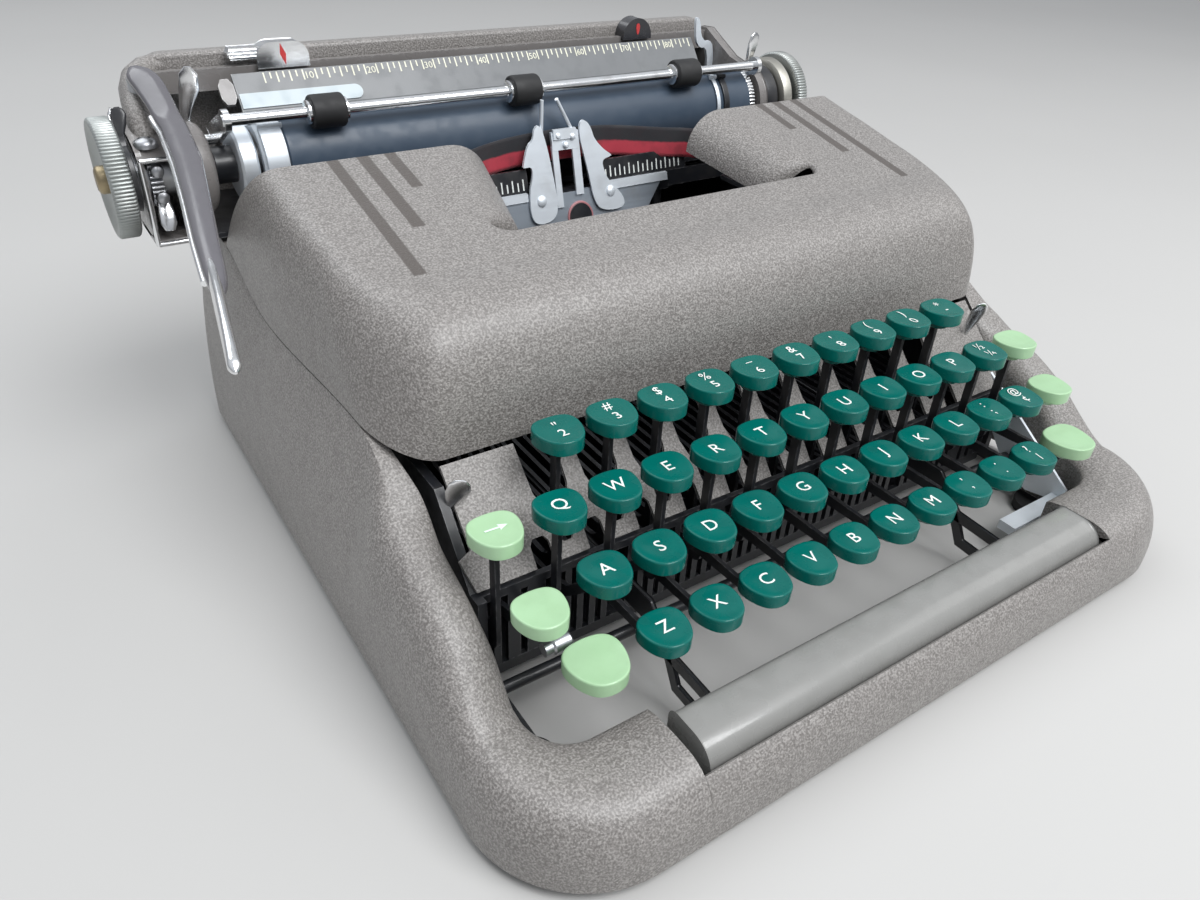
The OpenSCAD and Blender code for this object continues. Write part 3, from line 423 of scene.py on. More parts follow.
# %% Building a material
class Finish:
    """A material with one Principled shader. Masks are linked in, plain values set on its sockets."""

    def __init__(self, name, colour, roughness, **plain):
        self.material = bpy.data.materials.new(name)
        self.material.use_nodes = True
        self.tree = self.material.node_tree
        self.inputs = self.tree.nodes["Principled BSDF"].inputs
        self.colour = (*colour, 1)
        self.inputs["Base Color"].default_value = self.colour
        self.inputs["Roughness"].default_value = roughness
        for label, value in plain.items():
            self.inputs[label.replace("_", " ")].default_value = value

    def effect(self, group, **values):
        """Places a shared effect and returns its outputs."""
        return node(self.tree, "ShaderNodeGroup", values, node_tree=group).outputs

    def tint(self, mask, colour, share=1.0):
        """Mixes a colour over what is there, where the mask is 1, at most by share."""
        part = math_node(self.tree, "MULTIPLY", mask, share)
        made = node(self.tree, "ShaderNodeMix", {0: part, 6: self.colour, 7: (*colour, 1)}, data_type="RGBA")
        self.colour = made.outputs[2]
        self.tree.links.new(self.colour, self.inputs["Base Color"])

    def vary_rough(self, mask, low, high):
        """Lets the roughness go from low to high with a mask."""
        made = node(self.tree, "ShaderNodeMapRange", {"Value": mask, "To Min": low, "To Max": high})
        self.tree.links.new(made.outputs["Result"], self.inputs["Roughness"])

    def bump(self, height, depth, strength):
        """Bump of that depth, in metres."""
        made = node(self.tree, "ShaderNodeBump", {"Height": height, "Strength": strength, "Distance": depth})
        self.tree.links.new(made.outputs["Normal"], self.inputs["Normal"])


def cloudy(name, colour, light, dark, rough, size, shares, rougher, grain, **plain):
    """A finish with light and dark clouds, rougher in the dark ones, and a fine grain of (waves per metre,
    detail, depth, strength)."""
    made = Finish(name, colour, rough, **plain)
    patch = made.effect(blotch, Size=size)
    made.tint(patch["Tone"], light, shares[0])
    made.tint(patch["Smudge"], dark, shares[1])
    made.vary_rough(patch["Smudge"], rough, rough + rougher)
    waves, detail, depth, strength = grain
    made.bump(noise(made.tree, waves, detail), depth, strength)
    return made


# %% Enamels
taupe = (0.236, 0.222, 0.211)


def crinkle_enamel(name):
    """Leathery taupe enamel of the shell and the covers, with painted shade in the grain's valleys and
    painted highlights on its peaks.
    """
    made = Finish(name, taupe, 0.4, Coat_Weight=0.4, Coat_Roughness=0.36)
    grain = made.effect(crinkle)
    patch = made.effect(blotch, Size=14.0)
    worn = made.effect(edge_wear, Width=0.0009, Amount=0.5)
    made.tint(patch["Tone"], (0.25, 0.234, 0.221), 0.5)
    made.tint(patch["Smudge"], (0.216, 0.202, 0.191), 0.14)
    # Painted shade darkens the crinkle's valleys, and painted highlights lighten its peaks.
    made.tint(grain["ValleyShade"], (0.115, 0.105, 0.097), 0.72)
    made.tint(grain["PeakHighlight"], (0.4, 0.378, 0.36), 0.55)
    made.tint(worn["Edge"], (0.145, 0.14, 0.134), 0.5)
    made.vary_rough(patch["Smudge"], 0.42, 0.5)
    made.bump(grain["Height"], 0.0004, 0.9)
    return made


def striped_enamel():
    """The same enamel with three painted bars on each shoulder of the cover, cut off square at the front."""
    made = crinkle_enamel("striped_enamel")
    tree, blur = made.tree, 0.0003
    x, y, z = place_axes(tree)
    side = math_node(tree, "ABSOLUTE", x)
    skin = math_node(tree, "MULTIPLY_ADD", y, -cover_slope, z)
    top = smooth_between(tree, skin, (cover_top - 1.2) * MM, (cover_top - 0.6) * MM)
    total = 0.0
    for left, right, end in np.array(stripes) * MM:
        inside = math_node(tree, "MULTIPLY", smooth_between(tree, side, left - blur, left + blur),
                           smooth_between(tree, side, right + blur, right - blur))
        past = smooth_between(tree, y, end - blur, end + blur)
        total = math_node(tree, "MAXIMUM", total, math_node(tree, "MULTIPLY", inside, past))
    made.tint(math_node(tree, "MULTIPLY", total, top), (0.072, 0.06, 0.052), 0.93)
    return made


def smooth_enamel(name, colour, light, dark, rough, edge=(0.55, 0.55, 0.54)):
    """Smooth sprayed enamel: cloudy tone, fine orange peel, bright or dark where edges have rubbed."""
    made = cloudy(name, colour, light, dark, rough, 40.0, (0.5, 0.35), 0.14, (1500.0, 2.0, 0.00005, 0.35),
                  Coat_Weight=0.25, Coat_Roughness=0.2)
    made.tint(made.effect(edge_wear, Width=0.0007, Amount=0.8)["Edge"], edge, 0.75)
    return made.material


# %% Metals, rubber and plastics
def bright_metal(name, colour, rough, stain=(0.3, 0.28, 0.25), share=0.25, metallic=1.0):
    """Plated or bare metal: brushing in the roughness and a little tarnish."""
    made = Finish(name, colour, rough, Metallic=metallic)
    marks = made.effect(brushed)
    made.tint(marks["Stain"], stain, share)
    made.vary_rough(marks["Line"], rough - 0.08, rough + 0.14)
    made.bump(marks["Line"], 0.00003, 0.25)
    return made.material


def rubber(name, colour, grey, rough):
    """Hard rubber, dusty grey in patches."""
    return cloudy(name, colour, grey, grey, rough, 60.0, (0.5, 0.35), 0.15, (2200.0, 3.0, 0.00004, 0.4),
                  Specular_IOR_Level=0.4).material


def moulded(name, colour, light, dark, rough, coat=0.5, shine=0.5):
    """Glossy moulded plastic: faint marbling, finger smudges in the gloss, small flow marks."""
    return cloudy(name, colour, light, dark, rough, 70.0, (0.6, 0.4), 0.16, (700.0, 2.0, 0.00005, 0.25),
                  Coat_Weight=coat, Coat_Roughness=0.08, Specular_IOR_Level=shine).material


def printed(name, colour, dirt):
    """Filled lettering and paint marks, with a little dirt in them."""
    made = Finish(name, colour, 0.45)
    patch = made.effect(blotch, Size=120.0)
    made.tint(patch["Smudge"], dirt, 0.35)
    made.vary_rough(patch["Tone"], 0.4, 0.55)
    return made.material


# %% Finishes in use
green = moulded("green_key", (0.0, 0.112, 0.094), (0.0, 0.126, 0.105), (0.0, 0.09, 0.077), 0.2, 0.14, 0.28)
pale = moulded("pale_key", (0.335, 0.53, 0.31), (0.365, 0.565, 0.345), (0.3, 0.475, 0.27), 0.28, 0.35)
black_plastic = moulded("black_plastic", (0.02, 0.02, 0.024), (0.028, 0.028, 0.032),
                        (0.015, 0.015, 0.018), 0.25)
bar_plastic = moulded("bar_plastic", (0.235, 0.234, 0.224), (0.255, 0.254, 0.244),
                      (0.205, 0.203, 0.194), 0.22)
black_steel = smooth_enamel("black_enamel", (0.012, 0.013, 0.016), (0.02, 0.021, 0.025), (0.03, 0.028, 0.026),
                            0.35, edge=(0.2, 0.2, 0.21))
carriage_paint = smooth_enamel("carriage_enamel", (0.19, 0.178, 0.172), (0.21, 0.197, 0.19),
                               (0.15, 0.14, 0.134), 0.25)
table_paint = smooth_enamel("table_enamel", (0.15, 0.157, 0.163), (0.167, 0.174, 0.18),
                            (0.125, 0.132, 0.137), 0.42)
# The scale strip's pale blue-grey colour is a painted reflection of the sky on a bright strip.
strip_painted_sky = smooth_enamel("strip_enamel_painted_sky", (0.39, 0.46, 0.49), (0.42, 0.49, 0.52), (0.34, 0.41, 0.44), 0.3)
lever_paint = smooth_enamel("lever_enamel", (0.105, 0.1, 0.112), (0.118, 0.113, 0.125),
                            (0.088, 0.084, 0.094), 0.12)
steel = bright_metal("steel", (0.46, 0.47, 0.49), 0.34)
nickel = bright_metal("nickel", (0.86, 0.87, 0.88), 0.16)
satin = bright_metal("satin_nickel", (0.8, 0.85, 0.9), 0.4, share=0.15, metallic=0.55)
knob_alloy = bright_metal("knob_alloy", (0.4, 0.42, 0.41), 0.45)
pale_alloy = bright_metal("pale_alloy", (0.42, 0.41, 0.37), 0.45)
blue_steel = bright_metal("blue_steel", (0.42, 0.47, 0.53), 0.36, metallic=0.7)
brass = bright_metal("brass", (0.4, 0.33, 0.21), 0.38, stain=(0.2, 0.15, 0.1))
# The platen's blue-grey colour is a painted reflection of the sky on black rubber.
platen_rubber = rubber("platen_rubber", (0.05, 0.072, 0.104), (0.062, 0.086, 0.12), 0.36)
black_rubber = rubber("black_rubber", (0.014, 0.014, 0.015), (0.03, 0.03, 0.03), 0.55)
ring_paint = printed("ring_paint", (0.4, 0.17, 0.18), (0.25, 0.12, 0.12))
red_paint = printed("red_paint", (0.6, 0.05, 0.05), (0.35, 0.04, 0.04))
ink_white = printed("ink_white", (0.8, 0.83, 0.8), (0.5, 0.52, 0.48))
ink_cream = printed("ink_cream", (0.78, 0.77, 0.62), (0.55, 0.53, 0.42))
ink_arrow = printed("ink_arrow", (0.72, 0.86, 0.78), (0.55, 0.68, 0.6))
print("finishes:", len(bpy.data.materials))

# %% [markdown]
# ## The shell
# The shell is one pressing: sides that lean in to a seam, two arms beside the keys, a rounded front bar and
# a turned down flange. Box modelling would need many loops; here the section at each place round the
# outline is a formula, and the skin is a grid of section points against places. Sheet thickness comes from
# a Solidify modifier. The space bar sits in a notch: there the section simply stops early, on the front
# slope.

# %% Shell outline
shell_lo, shell_hi = box_mm("body_shell")
half_w, half_d, base_z = shell_hi[0], shell_hi[1], shell_lo[2]
wall, skin_edge = 1.6, 0.4
skin_angle = math.radians(50)
front_r, rear_r = 38.0, 22.0
rim_side, rim_front, rim_low, rim_r = 22.0, 32.0, 25.0, 14.0
bar_z, ridge_front, ridge_arm = 28.0, 15.0, 12.0
rear_z, rear_inset = 93.0, 8.0
fold, fold_arm, fold_front = 2.2, 12.0, 11.0
seam_in, seam_drop = 5.0, 0.6
notch_x, notch_in = 94.5, 6.0
full = 12
edge_places = np.array([(-200, 28), (-122, 28.4), (-112, 31.8), (-100, 40.2), (-90, 47.8), (-76, 55.2),
                        (-57, 62), (-48, 67), (-40, 73), (-30, 78), (-24, 79), (56, 79), (66, 80.6),
                        (76, 84.6), (88, 90.4), (96, 92.6), (104, 93), (300, 93)], float)


def edge_height(y):
    """Height of the shell's top edge along its side: a line through the places, averaged over 10 mm."""
    near = np.linspace(-5, 5, 11)
    return np.interp(np.asarray(y)[..., None] + near, *edge_places.T).mean(-1)


def seam_inset(y):
    """Distance of the seam between shell and cover from the widest line."""
    return 10 + 3.5 * ramp((50 - y) / 75)


def place_rows(*columns):
    """Places on an outline as rows of an array. Each column is a number or one value for every place."""
    return np.stack([np.asarray(c, float).ravel() for c in np.broadcast_arrays(*columns)], 1)


def round_corner(side, x, y, r, a, way):
    """Point at angle a of a corner of radius r, with its centre at (x, y), on either side of the machine."""
    return side * (x + r * np.cos(a)), y + way * r * np.sin(a)


# %% Shell section
# A row holds a point of the outline, the vector to its rim, ridge inset, ridge and rim height, fold, share of
# arm and the ring at which the section ends.
def shell_side(side, y):
    """Places along a side, which becomes an arm in front."""
    arm = ramp((-30 - y) / 24)
    rear = (rim_front + rim_r - front_r) * ramp((-half_d + front_r + 27.5 - y) / 27.5)
    top = edge_height(y)
    rim = np.maximum(rim_low, top - mix(seam_drop, 9, ramp((-46 - y) / 16)))
    return place_rows(side * half_w, y, -side * mix(seam_inset(y) + seam_in, rim_side, arm), rear,
                      mix(seam_inset(y), ridge_arm, arm), top, rim, mix(fold, fold_arm, arm), arm, full)


def shell_front_corner(side, degrees):
    """Places round a front corner, from the side to the front."""
    a, t = np.radians(degrees), ramp(degrees / 90)
    px, py = round_corner(side, half_w - front_r, -half_d + front_r, front_r, a, -1)
    rx, ry = round_corner(side, half_w - rim_side - rim_r, -half_d + rim_front + rim_r, rim_r, a, -1)
    top = mix(edge_height(-half_d + front_r), bar_z, t)
    return place_rows(px, py, rx - px, ry - py, mix(ridge_arm, ridge_front, t), top, rim_low,
                      mix(fold_arm, fold_front, t), 1, full)


def shell_front(x, stop):
    """Places along the front bar."""
    return place_rows(x, -half_d, 0, rim_front, ridge_front, bar_z, rim_low, fold_front, 1, stop)


def shell_rear_corner(side, degrees):
    """Places round a rear corner, from the side to the rear."""
    a = np.radians(degrees)
    inset = mix(seam_inset(half_d), rear_inset, degrees / 90)
    px, py = round_corner(side, half_w - rear_r, half_d - rear_r, rear_r, a, 1)
    reach = inset + seam_in
    return place_rows(px, py, -side * np.cos(a) * reach, -np.sin(a) * reach, inset, rear_z,
                      rear_z - seam_drop, fold, 0, full)


def shell_rear(x):
    """Places along the rear."""
    return place_rows(x, half_d, 0, -rear_inset - seam_in, rear_inset, rear_z, rear_z - seam_drop, fold, 0,
                      full)


def shell_section(rows, rings):
    """Points of the skin. Ring 0 to 7 is the outer slope, a superellipse on the arms, a parabola elsewhere.
    Ring 7 to 10 is a quarter ellipse over the ridge to the rim, 10 to 12 the flange."""
    px, py, vx, vy, ridge_in, ridge_z, rim_z, flange, arm, stop = (c[:, None] for c in rows.T)
    j = rings[None] * stop / full
    reach = np.hypot(vx, vy)
    t = np.radians(np.clip(90 * j / 7, 0, 90))
    q, e = np.clip(j / 7, 0, 1), 2 / 2.6
    u = mix(ridge_in * q * q, ridge_in * (1 - np.cos(t) ** e), arm)
    z = base_z + (ridge_z - base_z) * mix(q, np.sin(t) ** e, arm)
    t = np.radians(np.clip(90 * (j - 7) / 3, 0, 90))
    u = u + (reach - ridge_in) * np.sin(t)
    z = z - (ridge_z - rim_z) * (1 - np.cos(t)) - flange * np.clip((j - 10) / 2, 0, 1)
    return np.stack([px + vx / reach * u, py + vy / reach * u, z], -1)


# %% Shell skin
def uneven(*spans):
    """Values along spans of (start, end, count), where each span begins at the end of the one before."""
    runs = [np.linspace(*span) for span in spans]
    return np.concatenate([run[:-1] for run in runs[:-1]] + runs[-1:])


def add_skin(name, finish, points, faces, body, node_name):
    """A pressed skin with its sheet thickness and rounded edges."""
    piece = add_piece(name, {finish: (points.reshape(-1, 3), faces)}, body,
                      replaces=[node_name], sharp=skin_angle)
    thicken(piece, wall)
    round_edges(piece, skin_edge)


notch_stop = 7 / 90 * math.degrees(math.acos((1 - notch_in / ridge_front) ** 1.3))
side_y = np.concatenate([np.linspace(half_d - rear_r, 104, 12), np.linspace(102, 56, 24),
                         np.linspace(52, -14, 18), np.linspace(-17, -half_d + front_r, 60)])
corner, rear_corner = np.linspace(4, 86, 22), np.linspace(4, 86, 16)
rear_x = np.linspace(0, half_w - rear_r, 14)
outer_x = np.linspace(-half_w + front_r, -notch_x, 10)
inner_x = np.linspace(-notch_x + 0.05, notch_x - 0.05, 60)
shell_rows = np.concatenate([
    shell_rear(-rear_x), shell_rear_corner(-1, rear_corner[::-1]), shell_side(-1, side_y),
    shell_front_corner(-1, corner), shell_front(outer_x, full), shell_front(inner_x, notch_stop),
    shell_front(-outer_x[::-1], full), shell_front_corner(1, corner[::-1]), shell_side(1, side_y[::-1]),
    shell_rear_corner(1, rear_corner), shell_rear(rear_x[:0:-1])])
shell_rings = uneven((0, 1, 5), (1, 6, 14), (6, 7.6, 10), (7.6, 10, 12), (10, full, 5))
enamel = crinkle_enamel("crinkle_enamel").material
add_skin("shell_skin", enamel, shell_section(shell_rows, shell_rings),
         grid_faces(len(shell_rows), len(shell_rings), loop_rows=True), "base", "body_shell")

# %% [markdown]
# ## The ribbon cover
# The cover is a second pressing on the seam of the shell. Its skin joins three outlines, place by place:
# the seam, the crown where the top begins, and the opening. Between seam and crown a superellipse gives the
# full shoulder; at the opening the edge rolls down, wide along the sides, where it becomes the two lips,
# and narrow in front.

# %% Cover outlines
cover_top, cover_slope = 120.0, 0.21
cover_rear, cover_front, cover_end = 57.5, -46.5, 97.0
lobe_y, lobe_r, face_low = -20.0, 18.0, 74.5
crown_in, crown_y, crown_r = 26.0, 8.0, 22.0
open_x, open_x_rear, open_r = 75.0, 64.0, 8.0
hem_r, lip_r = 2.2, 16.0
seam_gap = 0.8
stripes = [(105.5, 109.7, -12.5), (94.5, 99.0, 11.5), (84.8, 89.0, 34.0)]
crown_x = half_w - crown_in
lobe_x = half_w - seam_inset(lobe_y)


# A row holds the seam's point and height, the points of crown and opening, the way inwards and the roll.
def cover_leg(side, a):
    """Places along one leg, a from 0 at the front to 1 at the rear."""
    y = mix(lobe_y, cover_end, a)
    return place_rows(side * (half_w - seam_inset(y)), y, edge_height(y) + seam_gap,
                      side * crown_x, mix(crown_y, cover_rear, a),
                      side * mix(open_x, open_x_rear, a), mix(open_r, cover_rear, a),
                      -side, 0, mix(hem_r, lip_r, ramp(6 * a)))


def cover_lobe(side, degrees):
    """Places round a front corner, from the side to the front."""
    a = np.radians(degrees)
    low = mix(edge_height(lobe_y) + seam_gap, face_low, ramp(degrees / 90))
    seam_x, _ = round_corner(side, lobe_x - lobe_r, 0, lobe_r, a, -1)
    return place_rows(seam_x, lobe_y + (cover_front - lobe_y) * np.sin(a), low,
                      *round_corner(side, crown_x - crown_r, crown_y, crown_r, a, -1),
                      *round_corner(side, open_x - open_r, open_r, open_r, a, -1),
                      -side * np.cos(a), np.sin(a), hem_r)


def cover_face(t):
    """Places along the front, t from -1 to 1."""
    return place_rows((lobe_x - lobe_r) * t, cover_front, face_low, (crown_x - crown_r) * t,
                      crown_y - crown_r, (open_x - open_r) * t, 0, 0, 1, hem_r)


# %% Cover skin
def cover_section(rows, facing, rings):
    """Points of the skin. Ring 0 to 8 is the shoulder, 8 to 11 the top, 11 to 17 the rolled edge."""
    sx, sy, sz, cx, cy, ox, oy, dx, dy, roll = (c[:, None] for c in rows.T)
    j, f = rings[None], facing[:, None]
    t = np.radians(np.clip(90 * j / 8, 0, 90))
    h, g = 1 - np.cos(t) ** (2 / 3), np.sin(t) ** (2 / 3)
    q = np.clip((j - 8) / 3, 0, 1)
    r = np.radians(15 * np.clip(j - 11, 0, 6))
    x = mix(mix(sx, cx, h), ox, q) + roll * np.sin(r) * dx
    y = mix(mix(sy, cy, mix(g, h, f)), oy, q) + roll * np.sin(r) * dy
    crown = cover_top + cover_slope * cy
    z = mix(sz, crown, g) + cover_slope * q * (oy - cy) - roll * (1 - np.cos(r))
    return np.stack([x, y, z], -1)


leg = np.linspace(1, 0, 48)
lobe = np.linspace(3, 87, 26)
across = np.linspace(-1, 1, 50)
cover_rows = np.concatenate([cover_leg(-1, leg), cover_lobe(-1, lobe), cover_face(across),
                             cover_lobe(1, lobe[::-1]), cover_leg(1, leg[::-1])])
facing = np.concatenate([leg * 0, ramp(lobe / 90), across * 0 + 1, ramp(lobe[::-1] / 90), leg * 0])
cover_rings = uneven((0, 1, 7), (1, 7, 22), (7, 8, 9), (8, 11, 6), (11, 17, 11))
add_skin("cover_skin", striped_enamel().material, cover_section(cover_rows, facing, cover_rings),
         grid_faces(len(cover_rows), len(cover_rings)), "cover", "ribbon_cover")

# %% [markdown]
# ## Keys
# A keytop is moulded plastic with a flat rear, a narrower round front and a shallow dish for the finger.
# Its outline is a formula: in each direction, the nearest of four circles, joined softly. Rings of that
# outline, drawn in and lifted, make the underside, the side, the rounded edge and the dish. Each key has
# its own lever of black steel.

# %% Keytop
key_h, edge_r = 5.5, 0.7
dish_r, dish_z = 4.72, 4.6
foot_h, foot_in = 2.6, 0.4


def keytop_outline(turn, r):
    """Distance from the centre: soft minimum of the distances to four circles, for a keytop of radius r."""
    circles = np.array([(0, -0.03, 1.04), (-0.93, 0.25, 1.9), (0.93, 0.25, 1.9), (0, -1.15, 2.04)]) * r
    along = np.stack([np.cos(turn), np.sin(turn)], 1) @ circles[:, :2].T
    gap = circles[:, 2] ** 2 - (circles[:, :2] ** 2).sum(1)
    reach = along + np.sqrt(along ** 2 + gap)
    return (reach ** -24.0).sum(1) ** (-1 / 24.0) * 1.02


def dish(rho, r):
    """Height of the dished top below the rim: a sphere of 4.72 r, with its centre at 4.6 r."""
    return dish_z * r - np.sqrt((dish_r * r) ** 2 - rho ** 2)


def keytop(x, y, z, r):
    """Closed keytop with its top rim at z, and the foot under it."""
    turn = circle(72)
    bend = np.radians(np.linspace(0, 90, 7))
    inset = np.concatenate([[2.0, 0.5, 0.15], edge_r * (1 - np.cos(bend)) + 0.05])
    height = np.concatenate([[-key_h, -key_h, -key_h + 0.35], -edge_r - 0.35 + edge_r * np.sin(bend)])
    rho = keytop_outline(turn, r) - inset[:, None]
    rings_z = height[:, None] + np.where(np.arange(len(inset))[:, None] > 2, dish(rho, r), 0)
    scale = np.linspace(1, 0.06, 9)[1:, None]
    inner = rho[-1] * scale
    top_z = dish(inner, r) + (rings_z[-1] - dish(rho[-1], r)) * ramp(scale)
    rho, rings_z = np.concatenate([rho, inner]), np.concatenate([rings_z, top_z])
    points = np.stack([x + rho * np.cos(turn), y + rho * np.sin(turn), z + rings_z], -1)
    foot = [(z - key_h - foot_h, 0.5 * r), (z - key_h + foot_in, 0.68 * r)]
    return join([loft(points), turned(foot, "z", (x, y), 32)])


# %% Legends
ink_h = 0.03


def words(text, size):
    """Closed flat lettering about the origin, made a mesh at once."""
    curve = bpy.data.curves.new("words", "FONT")
    curve.body, curve.size, curve.extrude, curve.resolution_u = text, size, 0.05, 3
    made = new_object("words", curve)
    work = bmesh.new()
    work.from_mesh(made.evaluated_get(bpy.context.evaluated_depsgraph_get()).to_mesh())
    bmesh.ops.remove_doubles(work, verts=work.verts, dist=1e-5)
    points = np.array([v.co for v in work.verts])
    faces = [[v.index for v in f.verts] for f in work.faces]
    work.free()
    bpy.data.objects.remove(made)
    bpy.data.curves.remove(curve)
    points[:, :2] -= (points[:, :2].min(0) + points[:, :2].max(0)) / 2
    return points, faces


def in_dish(part, place, r):
    """Lays a flat part about the origin into the dish of a keytop."""
    points = part[0] + np.array(place)
    points[:, 2] += dish(np.hypot(*part[0][:, :2].T), r) + ink_h
    return points, part[1]


def legend(upper, lower, place, r):
    """One or two characters on a keytop."""
    if upper:
        signs = join([moved(words(upper, 5.3), (0, 2.9, 0)), moved(words(lower, 5.5), (0, -2.5, 0))])
    else:
        signs = words(lower, 6.6)
    return in_dish(signs, place, r)


def arrow(place, r):
    """Arrow to the right on a keytop."""
    outline = [(-3.4, -0.3), (1.2, -0.3), (0.9, -1.3), (3.6, 0), (0.9, 1.3), (1.2, 0.3), (-3.4, 0.3)]
    return in_dish(plate(outline, -ink_h, ink_h, "xy"), place, r)


# %% Key levers
pitch, row_step, row_rise = 19.05, 16.9, 13.0
row_x, row_y, row_z = -89.0, -112.5, 46.5
row_shift = [0.25, -0.25, -0.5, 0]
key_r, shift_r = 7.9, 9.2
fulcrum_y, fulcrum_z, boss_r = 50.0, 58.0, 6.5
lever_low, lever_high, lever_t = 24.0, 32.0, 1.6
boss = np.concatenate([[(8, lever_high), (fulcrum_y - 4, fulcrum_z + boss_r - 2)],
                       arc(fulcrum_y, fulcrum_z, boss_r, 120, -60, 14), [(13, lever_low)]])


def key_place(row, col):
    """Middle of a keytop's rim."""
    return row_x + (row_shift[row] + col) * pitch, row_y + row * row_step, row_z + row * row_rise


def lever_plate(front, under, x):
    """Lever at x: its front, the boss at the fulcrum, and its lower edge."""
    return plate(np.concatenate([front, boss, under]), x - lever_t / 2, x + lever_t / 2, "yz")


def key_lever(x, y, z, lever_x):
    """Lever from keytop to fulcrum. The two front rows run straight back, the others stand on a stem."""
    stem = z - key_h - 2
    if y < -85:
        through = min(stem - 1, 37.5)
        front = [(y - 1.5, stem - 2), (y - 1.5, stem + 0.3), (y + 3, stem + 0.3), (y + 5, stem - 1),
                 (-77, through), (-66, 34), (-40, lever_high)]
        under = [(-60, lever_low + 4), (-77, through - 4.5), (y + 3, stem - 4)]
    else:
        front = np.concatenate([[(y - 0.4, stem), (y + 3, stem), (y + 3, lever_high + 6)],
                                arc(y + 9, lever_high + 6, 6, 180, 270, 6)])
        under = np.concatenate([[(y + 3.6, lever_low)], arc(y + 3.6, lever_low + 4, 4, 270, 180, 6)])
    parts = [lever_plate(front, under, lever_x)]
    if abs(lever_x - x) > 0.5:
        low, high = min(lever_x, x) - lever_t / 2, max(lever_x, x) + lever_t / 2
        parts.append(block((low, y - 0.4, stem - 2.5), (high, y + 3, stem + 0.5)))
    return join(parts)


# %% Letters, numbers and marks
def add_keys(name, body, keys, extra=None):
    """A key, or a bank of keys on one body. Each entry: place, lever plane, radius, upper and lower sign."""
    signs = [legend(upper, lower, place, r) for place, _, r, upper, lower in keys if lower]
    groups = {green if signs else pale: join([keytop(*place, r) for place, _, r, _, _ in keys]),
              black_steel: join([key_lever(*place, lever_x) for place, lever_x, _, _, _ in keys])}
    if signs:
        groups[ink_white] = join(signs)
    add_piece(name, {**groups, **(extra or {})}, body, replaces=[body],
              sharp=math.radians(40))


def straight_key(row, col, upper, lower):
    """A key whose lever stands right under it."""
    place = key_place(row, col)
    return place, place[0], key_r, upper, lower


for row, letters in {2: "QWERTYUIOP", 1: "ASDFGHJKL", 0: "ZXCVBNM"}.items():
    for col, letter in enumerate(letters):
        add_keys(f"key_{letter.lower()}", f"letter_{letter.lower()}", [straight_key(row, col, "", letter)])
number_signs = ['"2', "#3", "$4", "%5", "_6", "&7", "'8", "(9", ")0", "*-"]
add_keys("key_numbers", "number_keys", [straight_key(3, col, *pair) for col, pair in enumerate(number_signs)])
mark_signs = {(2, 10): "½¼", (1, 9): ":;", (1, 10): "@¢", (0, 7): ",,", (0, 8): "..", (0, 9): "?/"}
add_keys("key_marks", "mark_keys", [straight_key(*place, *pair) for place, pair in mark_signs.items()])

# %% [markdown]
# ## Function keys
# Backspace, lock, tabulator, margin release and the two shifts are paler and have no letters; backspace has
# an arrow. Their levers stand a little beside the keytops, and the two shifts share one frame.

# %% Function keys
def function_key(row, col, side_step, lever_step, r=key_r, back=0.0):
    """A pale key, side_step beside a place in the rows, with its lever beside it again."""
    x, y, z = key_place(row, col)
    return (x + side_step, y + back, z), x + side_step + lever_step, r, "", ""


backspace = function_key(2, 0, -20.5, 0)
add_keys("key_backspace", "backspace_key", [backspace], {ink_arrow: arrow(backspace[0], key_r)})
add_keys("key_lock", "lock_key", [function_key(1, 0, -23.3, 3, back=-4)])
add_keys("key_tab", "tab_key", [function_key(2, 10, 18.5, 1.5)])
add_keys("key_margin", "margin_key", [function_key(1, 10, 18.5, 3)])
shifts = [function_key(0, 0, -23, 0, shift_r), function_key(0, 9, 22, -2.5, shift_r)]
add_keys("key_shift", "shift_keys", shifts)
shift_l, shift_right = (s[1] for s in shifts)
shift_frame = [pin(shift_l, shift_right, 2, "x", (fulcrum_y + 19, fulcrum_z))]
shift_frame += [block((x - lever_t / 2, fulcrum_y + 4.5, fulcrum_z - 3),
                      (x + lever_t / 2, fulcrum_y + 21.5, fulcrum_z + 3)) for x in (shift_l, shift_right)]
add_piece("shift_frame", {black_steel: join(shift_frame)}, "shift_keys")
collar = [(-117, 2.1), (-114.6, 2.1), (-114, 2.6), (-109, 2.6), (-108.4, 2.1)]
add_piece("lock_collar", {steel: turned(collar, "x", (-101, 43.6), 32)}, "lock_key")

# %% [markdown]
# ## Space bar
# A long moulded bar with a rounded front, on two black arms, each with an open loop under it. One section,
# the same all along, is enough: a plate with that outline, as thick as the bar is long, and a Bevel
# modifier for its ends.

# %% Space bar
bar_len, bar_d, bar_y = 91.0, 18.0, -half_d + 8
bar_low, bar_high, bar_r, bar_rear_r = 17.0, 29.5, 8, 3
bar_rear, arm_low = bar_y + bar_d, 16.6
bar_section = np.concatenate([
    [(bar_y, bar_low)], arc(bar_y + bar_r, bar_high - bar_r, bar_r, 180, 90, 12),
    arc(bar_rear - bar_rear_r, bar_high - bar_rear_r, bar_rear_r, 90, 0, 7), [(bar_rear, bar_low)]])
arm_front = [(bar_y + 4, bar_low + 3), (bar_rear - 4, bar_low + 3), (bar_rear + 2, 19), (row_y + 9, 20),
             (row_y + 21, lever_high)]
arm_under = [(row_y + 24, lever_low), (row_y + 11, 17.4), (bar_rear + 2, arm_low), (bar_y + 4, arm_low)]
loop = np.array([(11.9, 19.4), (5.3, 7.4), (-9.3, 6.6), (-16.1, 18), (-13.3, 18), (-8.1, 9), (3.9, 9.8),
                 (9.1, 19.4)])
arm_x = [row_x + col * pitch for col in (7 / 8, 9 - 7 / 8)]
bar_arms = [lever_plate(arm_front, arm_under, x) for x in arm_x]
bar_arms += [plate(loop + (row_y, 0), x - lever_t / 2, x + lever_t / 2, "yz") for x in arm_x]
